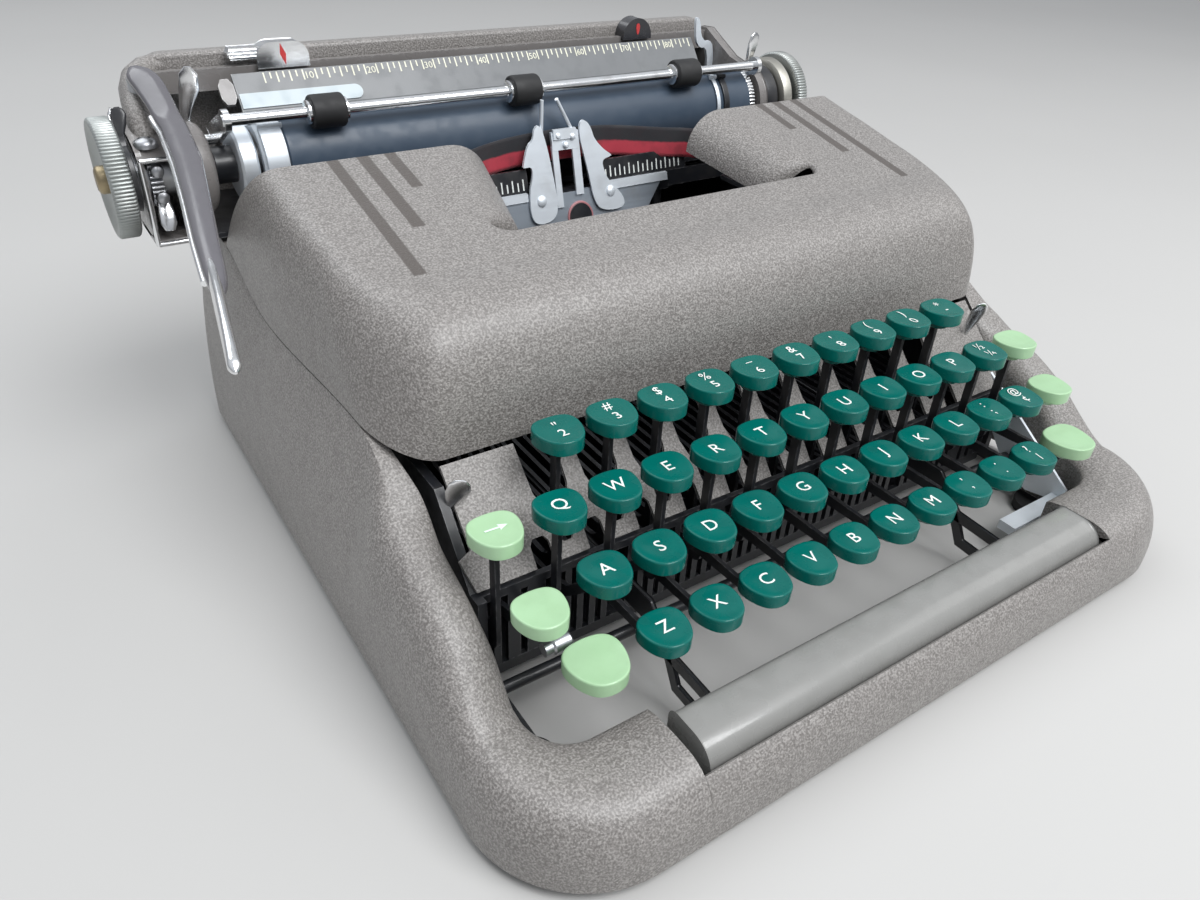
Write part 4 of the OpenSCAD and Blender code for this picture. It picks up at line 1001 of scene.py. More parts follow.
add_piece("bar", {bar_plastic: plate(bar_section, -bar_len, bar_len, "yz"), black_steel: join(bar_arms)},
          "space_bar", 0.7, replaces=["space_bar"])

# %% [markdown]
# ## Ribbon
# The inked ribbon is a woven band, black above and red below, stretched from spool to spool past the type
# guide. It is cloth: a thin band, given its thickness by a Solidify modifier.

# %% Ribbon
ribbon_lo, ribbon_hi = box_mm("ribbon")
ribbon_h = ribbon_hi[2] - ribbon_lo[2]
ribbon_end = ribbon_lo[1] + 0.4
ribbon_bend = np.array([(ribbon_lo[0], ribbon_end), (-64, 79.3), (64, 79.3), (ribbon_hi[0], ribbon_end)])
ribbon_lift, lift_x, cloth_t = 6.5, 95, 0.15
long_steps, high_steps = 200, 9


def ribbon_path(steps):
    """Points along the ribbon: its three straight runs, averaged so that the two bends are round."""
    run = np.concatenate([[0], np.cumsum(np.hypot(*np.diff(ribbon_bend, axis=0).T))])
    s = np.linspace(0, run[-1], steps)
    near = np.clip(s[:, None] + np.linspace(-4, 4, 9), 0, run[-1])
    return np.stack([np.interp(near, run, ribbon_bend[:, k]).mean(1) for k in (0, 1)], 1)


def inked_cloth():
    """Fine weave, black above and red below, with the two inks running into each other a little."""
    made = Finish("inked_cloth", (0.014, 0.014, 0.018), 0.75, Sheen_Weight=0.25, Sheen_Roughness=0.5)
    tree = made.tree
    x, _, z = place_axes(tree)
    lift = smooth_between(tree, math_node(tree, "ABSOLUTE", x), lift_x * MM, 0.0)
    level = math_node(tree, "MULTIPLY_ADD", lift, -ribbon_lift * MM, z)
    run = math_node(tree, "MULTIPLY_ADD", noise(tree, 300.0, 3.0), 0.0012, level)
    middle = (ribbon_lo[2] + ribbon_h / 2) * MM
    made.tint(smooth_between(tree, run, middle + 0.0011, middle + 0.0001), (0.48, 0.035, 0.06))
    threads = [math_node(tree, "SINE", math_node(tree, "MULTIPLY", axis, 9000.0)) for axis in (x, z)]
    patch = made.effect(blotch, Size=90.0)
    made.tint(patch["Smudge"], (0.03, 0.012, 0.015), 0.3)
    made.vary_rough(patch["Tone"], 0.68, 0.82)
    made.bump(math_node(tree, "MULTIPLY", *threads), 0.00006, 0.5)
    return made.material


run_x, run_y = (c[:, None] for c in ribbon_path(long_steps).T)
level = np.linspace(0, 1, high_steps)
wave = 0.12 * np.sin(run_x * 0.35) * np.sin(np.pi * level)
ribbon_y = run_y + 6.5 * ramp((62 - np.abs(run_x)) / 40) + wave
ribbon_z = ribbon_lo[2] + ribbon_lift * ramp((lift_x - np.abs(run_x)) / lift_x) + level * ribbon_h
ribbon_points = np.stack([np.repeat(run_x, high_steps, 1), ribbon_y, ribbon_z], -1)
band = (ribbon_points.reshape(-1, 3), grid_faces(long_steps, high_steps))
ribbon = add_piece("ribbon_band", {inked_cloth(): band}, "base", replaces=["ribbon"])
thicken(ribbon, cloth_t)

# %% [markdown]
# ## Carriage frame
# The carriage is a bed of sheet steel between two end plates, with a small housing on the left for the line
# space works. The end plates have thick rolled edges, so their Bevel is wide; the works inside stay crisp.
# Outlines with soft corners come from corner cutting: every pass keeps the points at one and three quarters
# of each side.

# %% End plates and housing
platen_y, platen_z, platen_r = 104.5, 121.0, 16.0
pivot_y, pivot_z = 121.0, 126.0
car_l, car_r = -150.0, 122.0
bed_low, bed_rear = 95.5, 149.5
house_l, house_low, house_rear = car_l - 13, 99, 126


def on_shaft(profile, steps=96, wave=None):
    """A part turned about the platen's shaft."""
    return turned(profile, "x", (platen_y, platen_z), steps, wave)


end_outline = np.concatenate([
    [(101, bed_low), (bed_rear, bed_low)], arc(139.6, 138.4, 9.9, 0, 80, 10),
    [(134, 148.6), (127, 145), (114, 138.6)], arc(platen_y, platen_z, platen_r, 85, 262, 24), [(101, 103)]])
carriage_ends = join([plate(end_outline, x - 1, x + 4, "yz") for x in (car_l, car_r - 4)])
add_piece("carriage_ends", {carriage_paint: carriage_ends}, "carriage", 0.8,
          replaces=["carriage_frame"])
house_side = soft([(92, house_low), (92, 130), (97, 133.6), (108, 136.6), (house_rear, 138),
                   (house_rear, house_low)], 2)
house_top = [(92.4, 129.6), (97.4, 133.2), (108, 136.4), (house_rear, 138), (house_rear, 136), (108, 134.4),
             (97.8, 131.3), (93.2, 128)]
house = [plate(house_side, house_l, house_l + 1.8, "yz"), plate(house_top, house_l, car_l, "yz"),
         block((house_l, 92.6, house_low), (car_l, house_rear, 100.8)),
         block((house_l, 124, house_low), (car_l, house_rear, 136.5))]
rim_l, rim_right, rim_bottom, rim_top = house_l + 0.5, car_l - 0.8, 99.6, 129.2
rim_path = [(x, 92, z) for x, z in ((rim_l, rim_bottom), (rim_right, rim_bottom), (rim_right, rim_top),
                                    (rim_l, rim_top))]
house_rim = [rod([a, b], 0.9) for a, b in zip(rim_path, rim_path[1:] + rim_path[:1])]

# %% Rolled corner and hood
corner_path = [(-133, 144.6, 148.4), (-141, 144.4, 148.2), (-147.2, 141.8, 147.6), (-151.6, 136, 146.4),
               (-154.4, 128, 144.4), (-156, 119, 142.2), (-156.8, 111, 139.4), (-157, 106.6, 136),
               (-157, 104.4, 132)]
corner_roll = blade(corner_path, (0.5, -0.5, 0.7), [4.6, 4.8, 5, 5, 4.8, 4.6, 4.4, 4.2, 4],
                    [4, 4.2, 4.4, 4.4, 4.2, 4, 4, 4, 4], 2.2)
add_piece("corner_roll", {enamel: corner_roll}, "carriage")

hood_lo, hood_hi = box_mm("carriage_hood")
hood_y, hood_z, hood_front = hood_hi[1], hood_hi[2], hood_lo[1]
hood_r, hood_wall, fold_r, lip_wall, lip_z, end_r = 4, 1.4, 1.6, 1.2, 141, 8
bend_y, bend_z = hood_y - hood_r, hood_z - hood_r
hood_outline = np.concatenate([
    [(hood_y, hood_lo[2])], arc(bend_y, bend_z, hood_r, 0, 90, 12),
    arc(hood_front + fold_r, hood_z - fold_r, fold_r, 90, 180, 6),
    [(hood_front, lip_z), (hood_front + lip_wall, lip_z), (hood_front + lip_wall, hood_z - hood_wall)],
    arc(bend_y, bend_z, hood_r - hood_wall, 90, 0, 12), [(hood_y - hood_wall, hood_lo[2])]])


def hood_section(x, shrink):
    """The outline at x. Near the ends, shrink goes to 1: the top sinks by 5 mm and the front draws back."""
    y, z = hood_outline.T
    return np.stack([y * 0 + x, y + 0.6 * shrink * np.clip(bend_y - y, 0, None),
                     z - 5 * shrink * np.clip((z - 130) / 20, 0, 1)], -1)


close = np.radians(np.linspace(90, 90 / 17, 9))
hood_rows = [hood_section(hood_lo[0] + end_r * (1 - np.sin(a)), 1 - np.cos(a)) for a in close]
hood_rows += [hood_section(hood_hi[0] - end_r * (1 - np.sin(a)), 1 - np.cos(a)) for a in close[::-1]]
add_piece("hood_skin", {enamel: loft(hood_rows)}, "carriage", 0.3,
          replaces=["carriage_hood"])

# %% Carriage works
shoe_x, shoe_w, shoe_top, shoe_low, shoe_sole = 28.3, 4, 96, 87, 92.3
shoe_parts = [(99, 109, shoe_sole), (99, 101.7, shoe_low), (106.3, 109, shoe_low), (129, 136, shoe_sole),
              (129, 131.7, shoe_low)]
bed = [block((car_l, 100, bed_low), (car_r, bed_rear, 97.5))]
bed += [block((x - shoe_w, y0, low), (x + shoe_w, y1, shoe_top))
        for x in (-shoe_x, shoe_x) for y0, y1, low in shoe_parts]
# The black sleeve beside the right knob is a dark part standing in for the shade in the gap between end plate
# and knob.
sleeve = on_shaft([(car_r - 1, 15.6), (car_r, 16), (129, 16), (130, 15.2)])
sleeve_left = on_shaft([(-166.2, 7.4), (-165.8, 8), (car_l, 8)], 48)
end_disc = on_shaft([(-146, 16), (-141, 16), (-139.6, 15.2), (-138.4, 13.4), (-137.8, 11), (-137.6, 3.2)], 64)
wheel = on_shaft([(-160, 11), (-156, 11)], 288, ribs(36, 1.4, 1, 2))
rail = block((car_l + 1, 135, 140), (car_r - 1, 138, 148))
post_place = (-154, 118)
post = [pin(136, 145, 4.2, "z", post_place, 48), turned([(144, 3), (150, 3), (150.4, 2.6)], "z", post_place)]
pivots = [pin(x0, x1, 2, "x", (pivot_y, pivot_z)) for x0, x1 in ((car_l + 1, -130.4), (112, car_r - 1))]
bolt = [(92.4, 0.1), (92.6, 1.4), (93.2, 2.1), (94.4, 2.3), (98, 2.3)]
bolts = [turned(bolt, "y", (z, -157.3), 24) for z in (124.6, 115.4)]
tongue = blade([(-157, 97, 113), (-157.2, 95, 110), (-157.4, 93.2, 106.5), (-157.5, 92.6, 104)], (1, 0, 0),
               [2.2, 2.8, 2.8, 1.6], 0.7)
works = {carriage_paint: house + [rail, end_disc], black_steel: bed + [sleeve],
         steel: post + [sleeve_left, wheel] + bolts, nickel: house_rim + [tongue] + pivots}
add_piece("carriage_works", {finish: join(parts) for finish, parts in works.items()}, "carriage",
          0.35)

# %% Screw and the right paddle
def slotted_screw(x, y, z, r):
    """Domed screw head that stands on z, with a dark slot: height 0.55 r sqrt(1 - rho^2)."""
    rho = np.sin(np.radians(np.linspace(88, 0, 7)))
    top = z + 0.55 * r
    dome = [(z - 1, r)] + [(z + 0.55 * r * math.sqrt(1 - q * q), max(r * q, core_r)) for q in rho]
    slot = block((x - 0.5 * r, y - 0.3, top - 1), (x + 0.5 * r, y + 0.3, top + 0.01))
    return turned(dome, "z", (x, y), 32), slot


screw, screw_slot = slotted_screw(-158.5, 97.5, 133.4, 4.0)
add_piece("housing_screw", {steel: screw, black_steel: screw_slot}, "carriage")
release = blade([(122.6, 107, 134), (122.8, 106, 140), (123.6, 105.4, 146), (124, 105, 150),
                 (124, 105, 151.4)], (1, 0.2, 0), [1.6, 2.3, 3.8, 3.1, 1.1], [1.2, 1, 0.8, 0.7, 0.4])
add_piece("carriage_release", {nickel: release}, "carriage")

# %% [markdown]
# ## Return lever
# The lever is a dark enamelled blade with a bright edge and a chromed finger piece. Blade and finger piece
# are lofts of superellipses, |u|^p + |v|^p = 1, along a bent path: p near 2.6 gives a full, rounded
# section, and the width follows a short table.

# %% Return lever
lever_bend_y, lever_bend_z = 92, 142
lever_line = np.array([(122.5, -153.4, 1.0), (121.5, -153.2, 5.5), (118, -152.6, 9.6), (112, -151.2, 10.2),
                       (100, -150.6, 9.0), (84, -150.6, 8.6), (57, -153.2, 8.8), (31, -157.4, 7.6),
                       (4.5, -162, 6.8), (-16, -165.2, 5.8), (-23, -166.3, 4.0), (-25.5, -166.6, 1.0)])[::-1]


def lever_shape(y):
    """Middle, width and height of the blade at y, averaged over 6 mm; it bends upwards behind y = 92."""
    near = y[:, None] + np.linspace(-3, 3, 7)
    x, w = (np.interp(near, lever_line[:, 0], lever_line[:, k]).mean(1) for k in (1, 2))
    behind = near - lever_bend_y
    return x, w, (lever_bend_z + 0.114 * behind + 0.25 * np.clip(behind, 0, 24)).mean(1)


lever_y = np.concatenate([np.linspace(122.5, 117, 8), np.linspace(114, -20, 60), np.linspace(-21, -25.5, 8)])
lever_x, lever_w, lever_z = lever_shape(lever_y)
lever_blade = blade(np.stack([lever_x, lever_y, lever_z], 1), (1, 0, 0.1), lever_w / 2,
                    np.minimum(2.5, lever_w / 2))
bright_run = (lever_y < 96) & (lever_y > -16)
edge_line = np.stack([lever_x - lever_w / 2 - 0.1, lever_y, lever_z - 1.4], 1)[bright_run]
add_piece("lever_blade", {lever_paint: lever_blade, nickel: rod(edge_line, 0.95)}, "lever",
          replaces=["return_lever"])

# %% Finger piece
tip_x, tip_start = -165.5, -108
tip_line = np.array([(-6, 0.2, 2.2), (0, 0.2, 2.6), (8, 0.3, 3.6), (18, 0.2, 4.3), (28, 0.1, 4.0),
                     (36, -0.2, 3.0), (40.5, -0.5, 2.0), (42.6, -0.8, 1.0), (43.2, -0.9, 0.4)])
tip_t = np.concatenate([np.linspace(-6, 38, 30), np.linspace(39, 43.2, 9)])
tip_up, tip_h = (np.interp(tip_t, tip_line[:, 0], tip_line[:, k]) for k in (1, 2))
tilt, lean = math.radians(6.5), math.radians(9.5)
tip_flat = np.stack([tip_x - math.sin(lean) * tip_t, tip_start - math.cos(lean) * tip_t, tip_up], 1)
tip_path, _ = on_slope((tip_flat, None), (lever_bend_y, lever_bend_z), (math.cos(tilt), math.sin(tilt)))
tip = blade(tip_path, (0, -math.sin(tilt), math.cos(tilt)), tip_h, np.minimum(1.6, tip_h), 2.2)
add_piece("lever_spoon", {nickel: tip}, "lever", replaces=["lever_tip"])

# %% [markdown]
# ## Platen ends and knobs
# Knobs, rings and hubs are turned parts: a profile of distance along the shaft against radius, spun round.
# The ribs on the knob's rim are a wave added to the radius, depth times |cos(n a / 2)| - 1, which gives
# round crests and sharp roots.

# %% Platen ends
knob_r = 20.5


def knob(outer, inner):
    """Knob with a dished face at x = outer, ribbed rim, flat back at x = inner."""
    way, width = np.sign(inner - outer), abs(inner - outer)
    shares = [(1.7, 0.6), (1.0, 0.76), (0.25, 0.86), (0, 0.91), (0.1, 0.955), (0.5, 0.985), (1.0, 1),
              (width - 0.9, 1), (width - 0.4, 0.985), (width, 0.95)]
    return on_shaft([(outer + way * a, q * knob_r) for a, q in shares], 576, ribs(96, 0.45, 6, 9))


def knob_screw(face, way):
    """Screw head in the middle of a knob, and its slot."""
    slot_low, slot_high = face - 0.05 * way, face + 0.35 * way
    head = on_shaft([(face + way * a, r) for a, r in ((0, 3.4), (0.5, 4.4), (1.2, 4.8), (3.5, 4.8))], 48)
    return head, block((slot_low, platen_y - 0.45, platen_z - 3.4),
                       (slot_high, platen_y + 0.45, platen_z + 3.4))


def roller_end(side, end):
    """End of the rubber roller, on either side."""
    return on_shaft([(side * end, 15.7), (side * (end - 0.4), 16), (side * 107, 16)])


knobs = join([knob(-174, -166.6), knob(145.6, 139.6)])
heads, slots = zip(knob_screw(-175.8, 1), knob_screw(147.4, -1))
rings = [on_shaft([(-129.4, 12.4), (-128.6, 13.4), (-123.8, 13.4), (-123, 12.6)]),
         on_shaft([(-121.6, 14), (-120.8, 15), (-113.2, 15), (-112.4, 14.4)])]
right_ring = on_shaft([(111.4, 15.2), (111.9, 15.6), (114.6, 15.6), (115, 15)], 300, ribs(60, 0.5, 2, 3))
shaft = on_shaft([(-170, 3), (142, 3)], 24)
disc = on_shaft([(131, 16.4), (131.8, 17.8), (133.2, 18.4), (136.4, 18.4), (137.4, 17.6), (137.6, 5)])
hub_left = on_shaft([(-137.2, 6), (-136.6, 6.6), (-129, 6.6), (-129, 11), (-121, 11)], 64)
add_piece("platen_ends", {knob_alloy: knobs, brass: join(heads), black_steel: join([*slots, hub_left]),
                          satin: join(rings), steel: shaft, nickel: right_ring, pale_alloy: disc,
                          platen_rubber: join([roller_end(-1, 112.4), roller_end(1, 111.4)])},
          "platen", replaces=["platen_core"])

# %% Clips on the platen
clip_r = platen_r + 0.6


def platen_clip(x0, x1):
    """Clip over the platen's front: a band a little wider than the roller, and a loop at its upper end."""
    y, z = arc(platen_y, platen_z, clip_r, 100, 185, 20).T
    strip = blade(np.stack([y * 0 + (x0 + x1) / 2, y, z], 1), (1, 0, 0), (x1 - x0) / 2, 0.35, 6)
    return join([strip, rod([(x, y[5] - 0.6, z[5] + 0.6) for x in (x0 - 0.5, x1 + 0.5)], 1.2)])


add_piece("platen_clips", {satin: join([platen_clip(-121, -113), platen_clip(90, 92)]),
                           black_steel: platen_clip(94.4, 97.6)}, "carriage")

# %% Paper bail and its rollers
bail_y, bail_z = 92.03, 139.49
bail_l, bail_right = -132.2, 114


def barrel(x, half_profile, steps):
    """Roller on the bail, the same on both sides of x."""
    profile = [(x - a, r) for a, r in half_profile] + [(x + a, r) for a, r in half_profile[::-1]]
    return turned(profile, "x", (bail_y, bail_z), steps)


def bail_arm(x):
    """Arm at x with a round eye at both ends."""
    outline = [(bail_y - 1, bail_z - 3), (pivot_y - 1, pivot_z - 4), (pivot_y + 2, pivot_z + 4),
               (bail_y + 1, bail_z + 3)]
    return [plate(outline, x - 1, x + 1, "yz"), pin(x - 1.1, x + 1.1, 4, "x", (bail_y, bail_z), 40),
            pin(x - 1.1, x + 1.1, 4.5, "x", (pivot_y, pivot_z), 40)]


bail_rod = pin(bail_l - 1.4, bail_right + 1, 2.2, "x", (bail_y, bail_z), 32)
add_piece("bail", {nickel: join([bail_rod] + bail_arm(bail_l) + bail_arm(bail_right))}, "bail", 0.3,
          replaces=["paper_bail"])
roller_x = (-96, -13, 71)
tyres = join([barrel(x, [(6.3, 5.3), (5.9, 5.8), (5.2, 6)], 64) for x in roller_x])
hubs = join([barrel(x, [(7.9, 3.4), (7.4, 4.3)], 48) for x in roller_x])
add_piece("rollers", {black_rubber: tyres, nickel: hubs}, "bail_rollers",
          replaces=["bail_rollers"])

# %% [markdown]
# ## Paper table, margin stops and small levers
# The scale is printed: thin strips and figures laid on the sloping face. They are built flat, with x along
# the scale, a up the face and h off it, and then carried onto the face by its two unit vectors.

# %% Paper table
table_foot = np.array([120.6, 134.6])
table_up = np.array([9.3, 11.9]) / np.hypot(9.3, 11.9)
char, scale_start, scale_top = 2.54, -89.2, 14.5
marks = []
for i in range(-7, 76):
    x = scale_start + char * i
    if i % 10 == 0:
        marks.append(moved(words(str(i + 10), 3.9), (x, 12.2, 0.05)))
    else:
        marks.append(block((x - 0.28, 10.4 if i % 2 else 12.0, 0), (x + 0.28, scale_top, 0.08)))
# This bar under the scale carries a pale blue-grey that is a painted reflection of the sky.
strip = np.concatenate([[(-118.4, 1.0)], arc(-73, 3.9, 2.9, -90, 90, 12), [(-118.4, 6.8)]])
corner_plate = soft([(-125, 3), (-119.4, 3), (-119.4, 13), (-125, 13)], 1)
table_parts = {ink_cream: join(marks), strip_painted_sky: plate(strip, 0, 0.5, "xy"),
               carriage_paint: plate(corner_plate, -1.2, 0.6, "xy")}
add_piece("table_scale", {finish: on_slope(part, table_foot, table_up)
                          for finish, part in table_parts.items()}, "carriage")

# %% Margin stops
stop_front, stop_rear, stop_z = 132.7, 139.9, 146.8
left_face = np.concatenate([[(-87.2, stop_z)], arc(-92.8, 150.4, 5.5, 8, 90, 9),
                            arc(-101.6, 150.0, 5.9, 90, 180, 10), [(-107.5, stop_z)]])
tab = plate([(-106, 150.4), (-106, 154.6), (-117, 154.6), (-118, 152.5), (-117, 150.4)], 133.8, 138.4, "xz")
ridges = [rod([(-117.6, 133.6, z), (-107, 133.6, z)], 0.5) for z in (151.2, 152.4, 153.6)]
diamond = [(-97.9, 155), (-96.3, 151.6), (-96.7, 148.2), (-98.3, 151.6)]
right_face = np.concatenate([[(81.3, stop_z)], arc(73.2, 147.9, 8.0, 0, 180, 20), [(65.1, stop_z)]])
drop = soft([(72.0, 153.6), (74.4, 153.6), (73.8, 149), (72.8, 149)], 2)


def add_stop(side, finish, face, sign, extra=()):
    """A margin stop: its body with a red sign on the front."""
    solid = join([plate(face, stop_front, stop_rear, "xz"), *extra])
    paint = plate(sign, stop_front - 0.2, stop_front + 0.1, "xz")
    add_piece(f"stop_{side}", {finish: solid, red_paint: paint}, f"margin_{side}", 0.7,
              replaces=[f"margin_stop_{side}"])


add_stop("left", nickel, left_face, diamond, [tab] + ridges)
add_stop("right", black_plastic, right_face, drop)

# %% Paper release and line selector
release_rod = pin(-149.5, 121.5, 2, "x", (128.5, 118))
left_paddle = blade([(-140, 128.5, 116), (-139.8, 128.2, 128), (-138, 126, 137), (-135.8, 124.2, 144),
                     (-135.2, 123.6, 149), (-135.2, 123.4, 151.6)], (1, -0.25, 0),
                    [2, 1.8, 2.3, 3.6, 3.2, 1.1], [1, 0.9, 0.8, 0.7, 0.6, 0.4])
z_lever = soft([(113.6, 116), (117, 116), (117.2, 144.6), (108.4, 144.6), (106.2, 155.6), (103.4, 155.6),
                (105.6, 141.8), (113.6, 141.8)], 2)
add_piece("paper_levers", {nickel: join([release_rod, left_paddle]), satin: plate(z_lever, 126.4, 128, "xz")},
          "paper_release", 0.3, replaces=["paper_release"])
selector = [plate(soft([(99, 130), (109, 129), (110, 136), (104, 136)], 2), -166, -163.7, "yz"),
            plate(arc(platen_y, platen_z, 12, 0, 352, 45), -165.7, -163.9, "yz"),
            blade([(-164.8, 103.6, 131), (-164.8, 104.6, 135), (-164.2, 106, 138.8), (-163.6, 107.2, 141.6),
                   (-163.4, 107.8, 143), (-163.4, 108, 143.6)], (1, -0.3, 0.2),
                  [1.2, 1.4, 2.5, 2.7, 1.9, 0.7], [1, 1, 0.9, 0.8, 0.7, 0.4])]
selector_edge = rod([(-166, 103, 131.5), (-166.2, 104.4, 135), (-166.6, 106, 138.8), (-166.3, 107.2, 141.6),
                     (-165.2, 107.9, 143.3)], 0.6)
add_piece("selector", {black_steel: join(selector), nickel: selector_edge}, "line_selector",
          0.5, replaces=["line_selector"])

# %% [markdown]
# ## Type guide
# In the opening stands a bright plate with the type guide: two wings that hold cards, a window for the type
# and two wires. Each is a flat plate cut to an outline, so an outline of points, softened at its corners,
# is all it needs.

# %% Type guide
guide_y, foot_z, lean_rate = 76, 97, 0.26
back_plate = soft([(-33, 82), (-33, 100), (-21, 101), (-6, 99.4), (8, 99.4), (25, 100), (52, 99.6), (46, 92),
                   (38, 82)], 1)
left_wing = soft([(-10.2, 127.4), (-13.4, 126.4), (-14.4, 121.8), (-17.4, 120.2), (-20.6, 112.2),
                  (-20.4, 111.8), (-16.2, 112), (-16.8, 107), (-18.6, 103), (-19.6, 93), (-17, 88.6),
                  (-9, 89.2), (-5.6, 94), (-6.6, 106), (-8.2, 119)], 2)
right_wing = soft([(9.6, 127.4), (12.6, 126.6), (14.6, 123.4), (15.4, 119.6), (19.6, 114.8), (23.6, 112.2),
                   (23.4, 111.6), (18.4, 110.6), (19.2, 106), (21, 102), (28.6, 94.4), (28.4, 89.6),
                   (18, 89.6), (13, 93), (10.8, 108), (8, 122)], 2)
wings = [plate(wing, guide_y - 1, guide_y, "xz") for wing in (left_wing, right_wing)]
window = [block((-5.6, 75.6, 94), (-2.6, 76.8, 118)), block((4.4, 75.6, 98), (8.2, 76.8, 118)),
          block((-5.4, 75.4, 116.6), (8.0, 76.8, 123.6)), block((-4.6, 74.6, 121), (6.6, 75.8, 124.8))]
rails = [block((20, 75.8, 97.8), (54, 77.4, 101)), block((-34, 75.8, 98.4), (-19.5, 77.4, 101.4))]
wires = [rod([(-9.4, 77.6, 118), (-9.2, 76.6, 125), (-8.4, 74.6, 136.6)], 0.8),
         rod([(8.5, 77.6, 118), (5.4, 76.6, 124), (-1.4, 74.6, 136.4)], 0.8)]
rivet = [(73.8, 0.1), (73.9, 1.2), (74.4, 2.1), (75.2, 2.4), (76.4, 2.4)]
rivets = [turned(rivet, "y", (z, x), 24) for x, z in ((-13.6, 98), (21.6, 97.6))]
stud = [(73.9, 0.1), (74, 0.8), (74.5, 1.3), (76, 1.3)]
studs = [turned(stud, "y", (z, x), 20) for x, z in ((-2.4, 122.4), (4.6, 121.6), (1, 118.6))]
ring_place = (88.6, 5.6)
ring = turned([(76.4, 0.1), (76, 5.8), (75.9, 6.1), (76.1, 6.5), (76.8, 6.5)], "y", ring_place)
hole = pin(75.8, 76.6, 5.7, "y", ring_place, 48)
card_scales = [block((18, 77.6, 101), (66, 78.2, 109.8)), block((-38, 77.6, 101), (-18, 78.2, 110.4))]
scale_x = np.concatenate([np.arange(21.5, 64, char), np.arange(-35.5, -20, char)])
scale_marks = [block((x - 0.3, 77.45, 102.4), (x + 0.3, 77.65, 105.6 + 1.2 * (k % 2)))
               for k, x in enumerate(scale_x)]
posts = [block((-24, 80, 95.6), (24, 84, 99)), block((-6, 77.2, 97), (8, 81, 99.6))]


def lean_back(parts):
    """Joins standing parts and leans them backwards: 0.26 mm for every millimetre above z = 97."""
    points, faces = join(parts)
    return points + np.outer(lean_rate * (points[:, 2] - foot_z), (0, 1, 0)), faces


add_piece("guide", {blue_steel: lean_back([plate(back_plate, 76.6, 77.6, "xz")]),
                    satin: lean_back(wings + window + wires + rivets + studs + rails),
                    black_steel: join([lean_back(card_scales + [hole])] + posts),
                    ring_paint: lean_back([ring]), ink_white: lean_back(scale_marks)},
          "base", 0.25, replaces=["type_guide"])

# %% [markdown]
# ## Trim round the keys
# Two small bright paddles stand beside the keys. Under the keys lie a dark pan and a rest rod, on the right
# a steel bracket. Inside the shell are corner blocks for the feet, and on the cover the ears with its hinge
# pins.

# %% Paddles, pan and bracket
pan_x, rod_gap = 122, 2.5
paddle_way = (0.85, -0.45, -0.25)
front_paddles = [
    blade([(-122.4, -50, 50), (-121.6, -52, 58), (-120.4, -54, 64.5), (-119.6, -55.4, 68),
           (-118.8, -56.6, 71), (-118.2, -57.4, 73), (-118, -57.8, 73.8)], paddle_way,
          [1.2, 1.4, 2, 3.4, 3.5, 2.4, 0.8], [0.7, 0.7, 0.6, 0.6, 0.6, 0.5, 0.3]),
    blade([(114, -53, 56), (113.6, -55.4, 64), (113.2, -57.4, 70), (112.8, -59, 74.6), (112.4, -60.4, 78),
           (112.3, -60.8, 79)], paddle_way, [1.2, 1.5, 2.8, 3.2, 2.2, 0.8], [0.7, 0.7, 0.6, 0.6, 0.5, 0.3])]
pan = [block((-pan_x, -71.6, 9.6), (pan_x, -19, 10.6)), block((-pan_x, -73.4, 7.6), (pan_x, -71.6, 11.8))]
rod_ends = [-pan_x, *(x + gap for x in arm_x for gap in (-rod_gap, rod_gap)), pan_x]
rest_rod = [pin(x0, x1, 2, "x", (-86.5, 17)) for x0, x1 in zip(rod_ends[::2], rod_ends[1::2])]
bracket = [plate([(-68, 48.8), (-86.5, 36.4), (-115, 17), (-115, 11), (-99, 7.4), (-84, 16), (-66, 38)],
                 120.4, 121.6, "yz"), block((86, -117, 9), (121, -110, 13))]
add_piece("paddles", {nickel: join(front_paddles), black_steel: join(rest_rod + pan), satin: join(bracket)},
          "base")

# %% Corner blocks and hinge ears
foot_x, foot_half, ear_x, hinge_place = 136, (11, 12), 109, (-40, 80)
corner_blocks = [block((s * foot_x - foot_half[0], y - foot_half[1], base_z),
                       (s * foot_x + foot_half[0], y + foot_half[1], base_z + 6))
                 for s in (-1, 1) for y in (-104.5, 122.5)]
add_piece("corner_blocks", {enamel: join(corner_blocks)}, "base", 0.5)
ears = [block((s * ear_x - 1.5, -45.4, 76), (s * ear_x + 1.5, -37.4, 84)) for s in (-1, 1)]
ears += [pin(s * (ear_x - 8), s * ear_x, 2, "x", hinge_place) for s in (-1, 1)]
add_piece("hinge_ears", {black_steel: join(ears)}, "cover", 0.3)

# %% [markdown]
# ## Key deck
# The plate behind the keys is cut like a comb. Each lever of the number row comes through a slot that is
# wide above and narrow below, and the row in front of it has small notches at the lower edge. The outline
# is one line round the comb, drawn flat and then carried onto the slope.

# %% Key deck
deck_lo, deck_hi = box_mm("key_deck")
deck_t, under_cover = 1.2, 5
deck_foot = np.array([deck_lo[1], deck_lo[2] + deck_t])
deck_run = deck_hi[1:] - deck_foot
deck_up = deck_run / np.hypot(*deck_run)
deck_rear = np.hypot(*deck_run) + under_cover
notch = [(3.6, 0), (3.4, 7), (2, 9)]
slot = [(7, deck_rear), (6.4, 22), (3.4, 13), (3, 6.5), (1.6, 4.6)]


def cut(x, half):
    """A cut into the plate at x, the same on both sides."""
    return [(x - b, a) for b, a in half] + [(x + b, a) for b, a in half[::-1]]


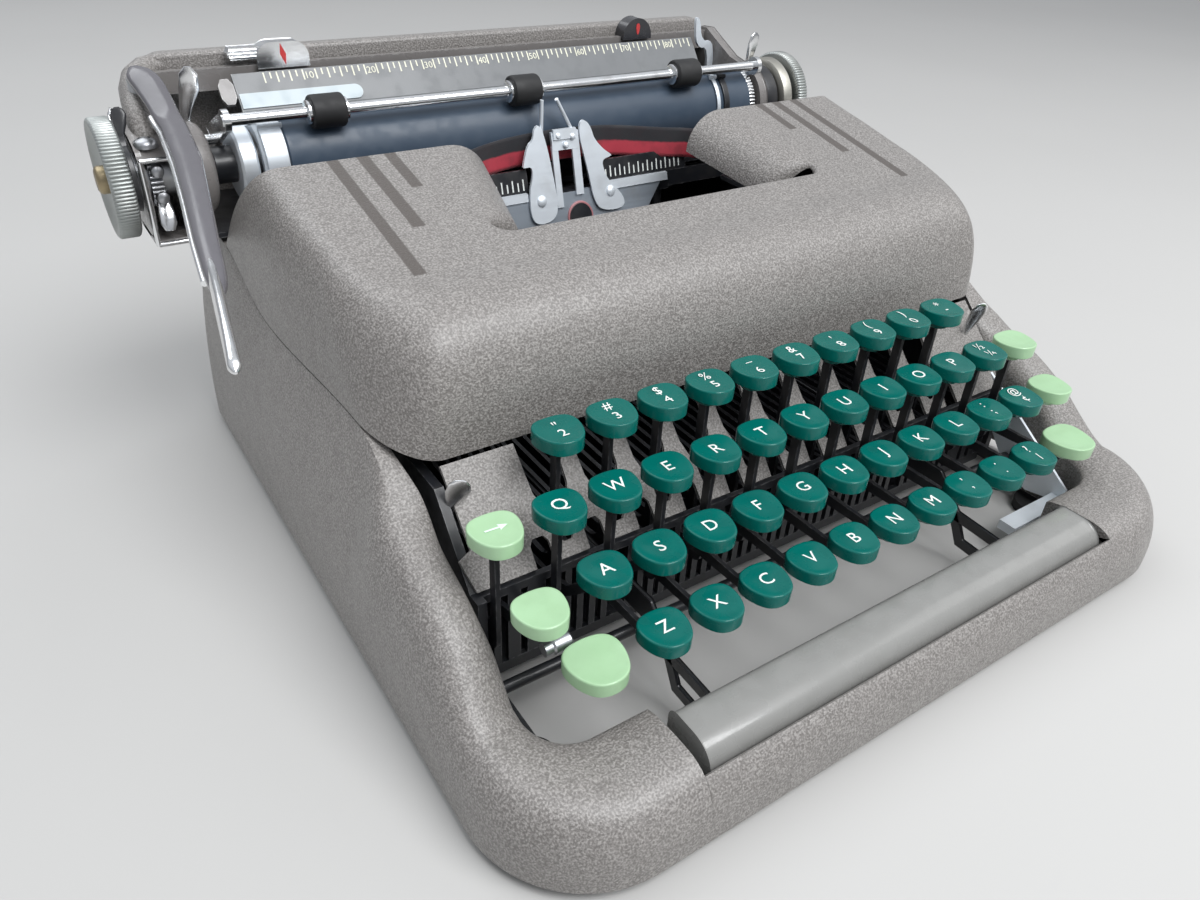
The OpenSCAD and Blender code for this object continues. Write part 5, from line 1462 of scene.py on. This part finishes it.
lower = [point for col in range(11) for point in cut(key_place(2, col)[0], notch)]
upper = [point for col in range(10) for point in cut(key_place(3, col)[0], slot)]
deck_l, deck_right = deck_lo[0], deck_hi[0]
comb = [(deck_l + 2, 0), *lower, (deck_right - 2, 0), (deck_right, 10), (deck_right - 3, deck_rear),
        *upper[::-1], (deck_l + 4, deck_rear), (deck_l + 4.4, 12), (deck_l, 10)]
deck = on_slope(plate(comb, -deck_t, 0, "xy"), deck_foot, deck_up)
add_piece("deck_plate", {enamel: deck}, "base", 0.2, replaces=["key_deck"])

# %% [markdown]
# ## Finishes of the frame's own nodes
# Base frame, spools, type basket, roller, paper table and feet keep the shapes that the frame gives them.
# They get a finish each, and where their edges show, a Weld modifier joins the loose triangles so that a
# Bevel modifier can round them.

# %% Dress the nodes
node_finish = {
    black_steel: ["base_frame", "spool_left", "spool_right"], table_paint: ["paper_table"],
    steel: ["fulcrum_rod", "type_segment", "type_bars", "mainspring_drum"],
    platen_rubber: ["platen_roller"], black_rubber: ["rubber_feet"]}
rounding = {"paper_table": 0.3, "rubber_feet": 0.6}
for finish, names in node_finish.items():
    for name in names:
        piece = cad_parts[name]
        piece.data.materials.clear()
        piece.data.materials.append(finish)
        if name in rounding:
            weld = piece.modifiers.new("weld", "WELD")
            weld.merge_threshold = 0.00001
            round_edges(piece, rounding[name])
print("dressed", sum(len(n) for n in node_finish.values()), "nodes")

# %% [markdown]
# ## Floor
# A plain pale sheet under the feet, with a soft shadow.

# %% Floor
floor_size = 3.0
floor_mesh = bpy.data.meshes.new("floor")
floor_corners = [(x * floor_size, y * floor_size, 0) for x, y in ((-1, -1), (1, -1), (1, 1), (-1, 1))]
floor_mesh.from_pydata(floor_corners, [], [(0, 1, 2, 3)])
floor = new_object("floor", floor_mesh)
pale_sheet = Finish("pale_sheet", (0.47, 0.464, 0.452), 0.7)
pale_sheet.tint(pale_sheet.effect(blotch, Size=3.0)["Tone"], (0.49, 0.484, 0.472), 0.5)
floor_mesh.materials.append(pale_sheet.material)
print("floor:", 2 * floor_size, "m wide")
